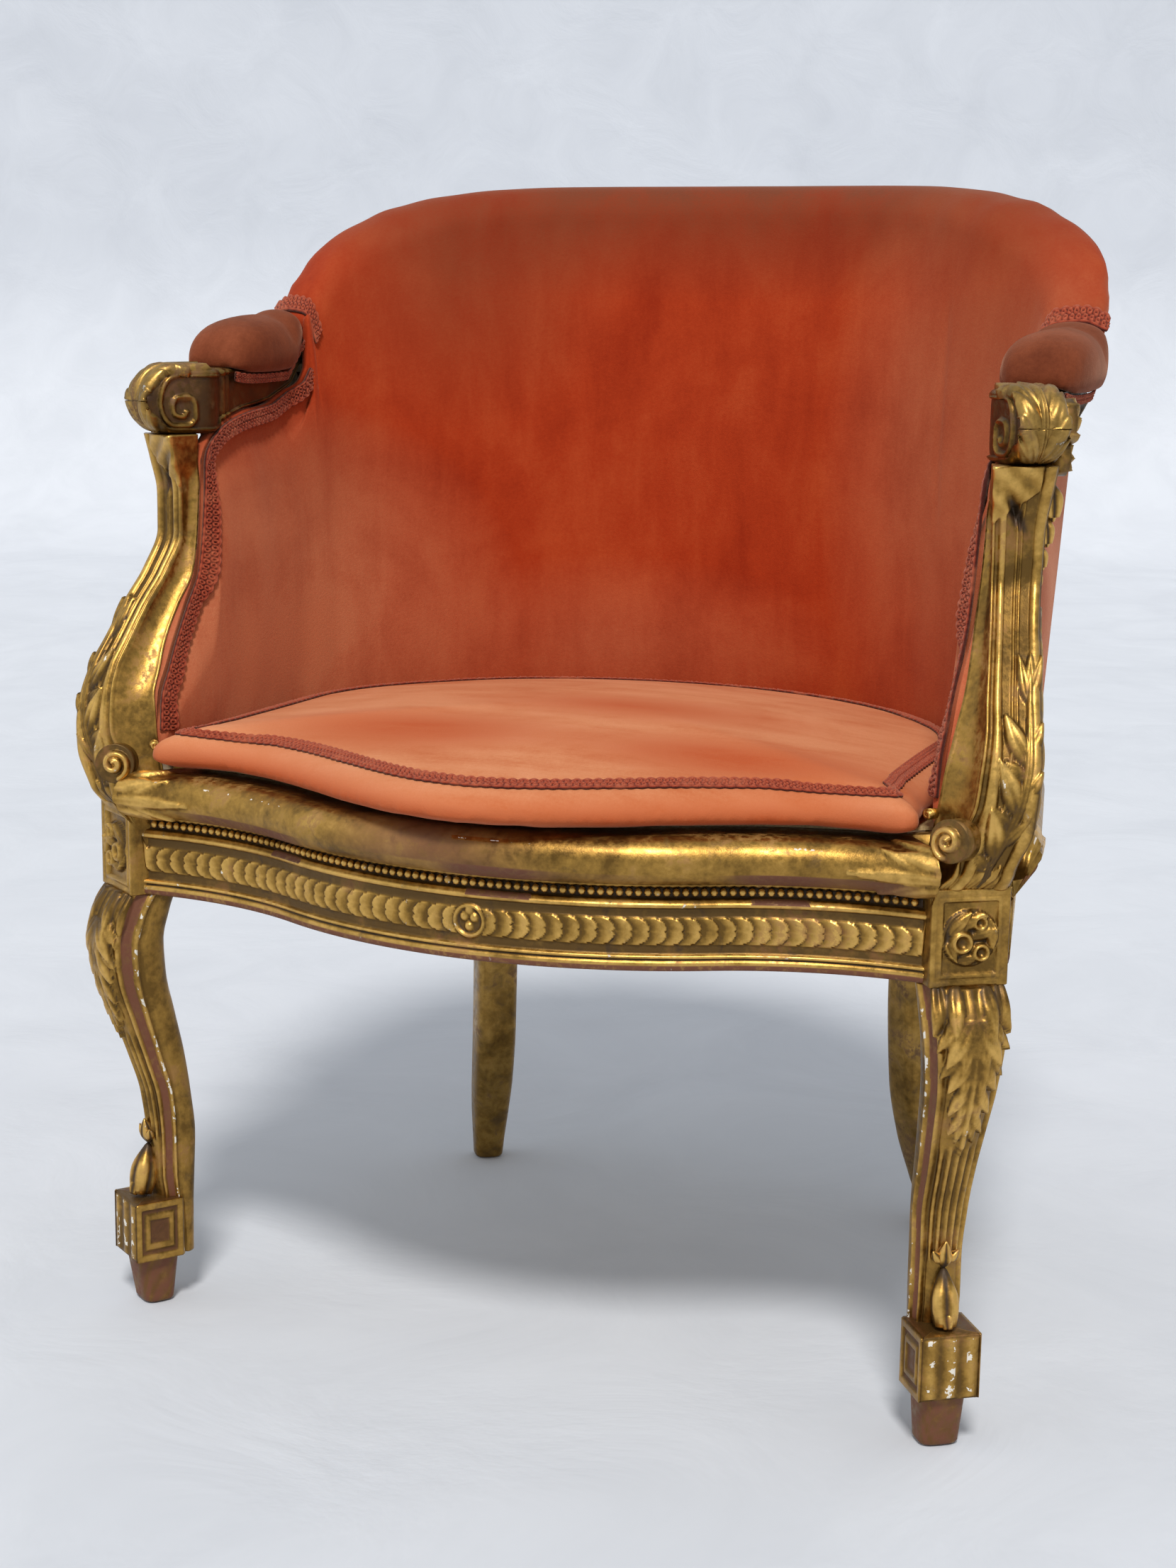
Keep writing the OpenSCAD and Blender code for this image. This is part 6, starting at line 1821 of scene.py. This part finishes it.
@dataclass
class SquabCushion:
    """Loose crowned squab with a boxed edge, and the braid sewn along its top edge."""

    base: float = 387.8
    edge: float = 19.0
    crown: float = 24.0
    flat: float = 230.0
    wave: float = 90.0
    front: float = 271.0

    def outline(self) -> Array:
        """Plan of the cushion: a bowed front, notches round the blocks, then the line of the back."""
        x = np.arange(10) / 9 * (self.flat + 2)
        y = -(self.front - self.wave) - self.wave * (1 + np.cos(np.pi * x / self.flat)) / 2
        block = np.array(PLAN.block)
        notch = block + np.array([[-30, -31.9], [-19, -27.4], [-18, -20.4], [-24, -10.4]])
        s = np.array([-130, -95, -60, -25, 10, 50, 90, 130, 170, 210, 250, 295, 340, 385, 420,
                      PLAN.half_len])
        off = BackUpholstery.swell(s, -46, -61) - 2.5
        turn = np.array([[PLAN.tub_r - 46 - 2.5 + 1.5, block[1] + 3.6]])
        half = np.vstack([np.column_stack([x, y]), notch, turn, PLAN.along(s, off)])
        return np.vstack([half, half[-2:0:-1] * [-1.0, 1.0]])

    def fine_outline(self, count: int) -> Array:
        """Evenly spaced points of a smooth curve through the plan."""
        flat = np.column_stack([self.outline(), np.zeros(len(self.outline()))])
        return even_ring(flat, count)[:, :2]

    def inward(self, p: Array, inset: float, share: float) -> Array:
        """Plan moved in towards the centre by a distance, then by a share of what is left."""
        c = MIDDLE[:2]
        d = np.linalg.norm(p - c, axis=1, keepdims=True)
        return c + share * (1 - inset / d) * (p - c)

    def body(self) -> Shell:
        """The cushion: rows of its outline, each inset and raised, joined by curves."""
        plan = self.fine_outline(420)
        rows = np.array([[9, .02, 0], [9, .5, 0], [9, .9, 0], [6, 1, .01], [1.5, 1, .1], [0, 1, .34],
                         [1.2, 1, .6], [5, 1, .86], [10, 1, 1.02], [17, 1, 1.12], [31, 1, 1.28],
                         [31, .9, 1.46], [31, .78, 1.64], [31, .64, 1.84], [31, .46, 2.03], [31, .28, 2.16],
                         [31, .1, 2.23], [31, .01, 2.24]])
        rows = even_curve(np.arange(len(rows), dtype=float), rows, np.linspace(0, len(rows) - 1, 70))
        rise = np.minimum(rows[:, 2], 1) * self.edge + np.maximum(0, rows[:, 2] - 1) * self.crown / 1.24
        flat = np.stack([self.inward(plan, inset, share) for inset, share, _ in rows])
        return loft(joined(flat[..., 0], flat[..., 1], self.base + rise[:, None]))

    def braid(self, piece: bpy.types.Object) -> Shell:
        """Braid laid on the swelled cushion: its lines are dropped on to the mesh from above."""
        tree = BVHTree.FromObject(piece, bpy.context.evaluated_depsgraph_get())
        plan = self.fine_outline(360)
        lines = []
        for inset in (16.0, 22.5, 29.0):
            spots = []
            for x, y in (self.inward(plan, inset, 1.0) + [0.0, TUB_Y]) * MM:
                hit, normal, _, _ = tree.ray_cast(Vector((x, y, 0.6)), Vector((0, 0, -1)))
                spots.append([*hit, *normal] if hit else [x, y, 0.408, 0, 0, 1])
            lines.append(np.array(spots))
        outer, _, inner = (line[:, :3] / MM - [0.0, TUB_Y, 0.0] for line in lines)
        return woven_strip(outer, inner, unit(sum(lines)[:, 3:]), thick=0.9, closed=True, both=True)

    def build(self, velvet: Material, braid: Material) -> None:
        """Makes the cushion and its braid."""
        piece = make_piece("squab_velvet", [self.body()], velvet, ["squab"], SQUAB)
        stuffed(piece, voxel=4.5, pressure=4.0, cap=3.5)
        make_piece("squab_braid", [self.braid(piece)], braid, ["squab_gimp"], SQUAB)


@dataclass
class HiddenFrame:
    """The beech, webbing, cane and fastenings that stay as they are and get their finishes."""

    wood: tuple = ("crest_rail", "lower_back_rail", "corner_braces", "joint_pegs")

    def dress(self, nodes: dict[str, bpy.types.Object]) -> None:
        """Assigns the finishes.

        Args:
            nodes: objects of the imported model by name.
        """
        finishes = dict.fromkeys(self.wood, PlainWood().build())
        finishes |= {"back_webbing": Weave().build(), "cane_seat": Cane().build(),
                     "brace_screws": ScrewSteel().build()}
        for name, finish in finishes.items():
            node = nodes[name]
            for slot in node.material_slots:
                slot.material = finish
            if not node.material_slots:
                node.data.materials.append(finish)
            LOG.info("%s dressed", name)


@dataclass
class Studio:
    """Camera, soft lights, pale floor and backdrop."""

    place: tuple[float, float, float] = (0.615454, -1.597187, 0.695501)
    azimuth: float = 21.7532
    pitch: float = 10.8622
    roll: float = 0.8245
    # The focal length is 3500 pixels in a frame 2212 pixels high.
    lens: float = 3500.0 / 2212.0 * SENSOR_MM
    # Each sun: name, strength, size in degrees, azimuth and height in degrees, and colour.
    suns: tuple = (("key", 2.45, 11.0, (20, 54), (1.0, 0.975, 0.94)),
                   ("fill", 0.35, 60.0, (-60, 25), (0.90, 0.95, 1.0)))
    sky: tuple[float, float, float, float] = (0.90, 0.95, 1.0, 1.0)
    sky_strength: float = 0.62

    def camera(self) -> None:
        """Sets the camera where the photograph was taken."""
        a, e, r = (math.radians(v) for v in (self.azimuth, self.pitch, self.roll))
        forward = Vector((-math.sin(a) * math.cos(e), math.cos(a) * math.cos(e), -math.sin(e)))
        right = Vector((math.cos(a), math.sin(a), 0.0))
        up = right.cross(forward)
        side, top = math.cos(r) * right + math.sin(r) * up, math.cos(r) * up - math.sin(r) * right
        data = bpy.data.cameras.new("camera")
        data.lens, data.sensor_width, data.sensor_fit = self.lens, SENSOR_MM, "AUTO"
        data.clip_start, data.clip_end = 0.05, 50.0
        frame = Matrix((side, top, -forward)).transposed().to_4x4()
        frame.translation = Vector(self.place)
        bpy.context.scene.camera = placed("camera", data)
        bpy.context.scene.camera.matrix_world = frame

    def light(self, name: str, energy: float, angle: float, turn: tuple[float, float],
              colour: tuple) -> None:
        """One soft sun.

        Args:
            name: its name.
            energy: its strength.
            angle: its apparent size in degrees.
            turn: azimuth from which it comes, measured as the camera's, and its height, in degrees.
            colour: its colour.
        """
        data = bpy.data.lights.new(name, "SUN")
        data.energy, data.angle, data.color = energy, math.radians(angle), colour
        lamp = placed(name, data)
        a, e = math.radians(turn[0]), math.radians(turn[1])
        back = Vector((math.sin(a) * math.cos(e), -math.cos(a) * math.cos(e), math.sin(e)))
        lamp.rotation_mode = "QUATERNION"
        lamp.rotation_quaternion = back.to_track_quat("Z", "Y")

    def sweep(self) -> None:
        """Pale sheet: a floor that curves up into a backdrop, with low soft folds."""
        u, t = np.meshgrid(np.linspace(-7.0, 7.0, 240), np.linspace(-6.0, 9.2, 260))
        bend, radius = 5.2, 0.9
        lap = np.clip((t - bend) / radius, 0, np.pi / 2)
        y = np.minimum(t, bend) + radius * np.sin(lap)
        z = radius * (1 - np.cos(lap)) + np.maximum(t - bend - radius * np.pi / 2, 0)
        fold = 0.006 * np.sin(3.1 * u + 2.2 * np.sin(1.7 * t))
        fold += 0.003 * np.sin(13 * u - 5 * t) * np.sin(2.3 * t)
        fold = fold + 0.004 * np.sin(7.3 * t + 1.3 * np.sin(4.1 * u))
        rise = np.abs(fold) * 1.2 * ease((np.hypot(u, t - 0.1) - 0.55) / 0.8)
        y, z = y - rise * np.sin(lap), z + rise * np.cos(lap) - 0.0005
        cos, sin = math.cos(math.radians(self.azimuth)), math.sin(math.radians(self.azimuth))
        world = joined(u * cos - y * sin, u * sin + y * cos, z).reshape(-1, 3)
        rows, columns = u.shape
        k = (np.arange(rows - 1)[:, None] * columns + np.arange(columns - 1)).ravel()
        mesh = bpy.data.meshes.new("sheet_floor")
        mesh.from_pydata(world.tolist(), [], np.stack([k, k + 1, k + columns + 1, k + columns], -1).tolist())
        mesh.shade_smooth()
        bench = NodeBench("pale_sheet")
        crumple = bench.noise(5.0, 5.0, 0.6, 0.8)
        colour = bench.ramp(crumple, [(0.3, (0.56, 0.58, 0.62)), (0.7, (0.61, 0.63, 0.67))])
        bench.finish(Base_Color=colour, Roughness=0.9, Normal=bench.bump(crumple, 0.012, 0.35))
        mesh.materials.append(bench.material)
        placed("sheet_floor", mesh)

    def build(self) -> None:
        """Sets up the studio."""
        self.camera()
        for sun in self.suns:
            self.light(*sun)
        world = bpy.data.worlds.new("studio")
        world.use_nodes = True
        shade = world.node_tree.nodes["Background"]
        shade.inputs["Color"].default_value = self.sky
        shade.inputs["Strength"].default_value = self.sky_strength
        bpy.context.scene.world = world
        bpy.context.scene.view_settings.view_transform = "Standard"
        self.sweep()


def main() -> None:
    """Builds the armchair and its studio."""
    logging.basicConfig(level=logging.INFO, format="%(message)s")
    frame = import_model()
    gilt = Gilding().build()
    # Painted shade: a darker copy of the gilding for the back legs under the seat and the arms under their
    # pads.
    shaded_gilt = Gilding("shaded_gilding", smoke=0.55, rubbed=0.7).build()
    braid = Braid().build()
    brown = (((0.0, 0.20, 0.815), (0.60, 0.22, 0.115), 1.25), ((0.24, 0.10, 0.64), (0.12, 0.22, 0.24), 0.55),
             ((-0.20, 0.15, 0.72), (0.14, 0.15, 0.12), 0.5), ((-0.25, 0.0, 0.56), (0.10, 0.14, 0.10), 0.5))
    # Paler patches: wear, and on the low left wing painted light that brightens the wing.
    pale = (((-0.25, -0.04, 0.46), (0.17, 0.27, 0.18), 1.5), ((0.25, -0.04, 0.54), (0.14, 0.28, 0.26), 1.1),
            ((0.17, 0.17, 0.58), (0.09, 0.13, 0.22), 0.55), ((-0.10, 0.21, 0.44), (0.22, 0.12, 0.07), 0.5))
    velvet = Velvet(nap_spots=brown, wear_and_light_spots=pale).build()
    arm_velvet = Velvet("arm_velvet", (0.105, 0.022, 0.008), (0.18, 0.042, 0.015),
                        (0.26, 0.065, 0.025)).build()
    deep = (((0.0, -0.20, 0.388), (0.60, 0.24, 0.025), 1.5), ((-0.09, -0.15, 0.43), (0.14, 0.07, 0.06), 1.1),
            ((0.03, -0.04, 0.43), (0.15, 0.06, 0.06), 0.85), ((0.14, -0.15, 0.42), (0.15, 0.06, 0.05), 1.1))
    squab_velvet = Velvet("squab_velvet", (0.48, 0.13, 0.045), (0.59, 0.225, 0.10), (0.66, 0.28, 0.14),
                          nap=(0.44, 0.078, 0.020), nap_spots=deep, streak=(10.0, 46.0, 40.0)).build()
    SeatRails().build(gilt)
    for side in Side:
        FrontLeg(side).build(gilt)
        BackLeg(side).build(shaded_gilt)
        ArmSupport(side).build(gilt)
        ArmRail(side).build(shaded_gilt)
        HuskDrop(side).build(gilt)
        ArmPad(side).build(arm_velvet, braid)
    BackUpholstery().build(velvet, braid)
    SquabCushion().build(squab_velvet, braid)
    HiddenFrame().dress(frame["nodes"])
    Studio().build()


if __name__ == "__main__":
    main()
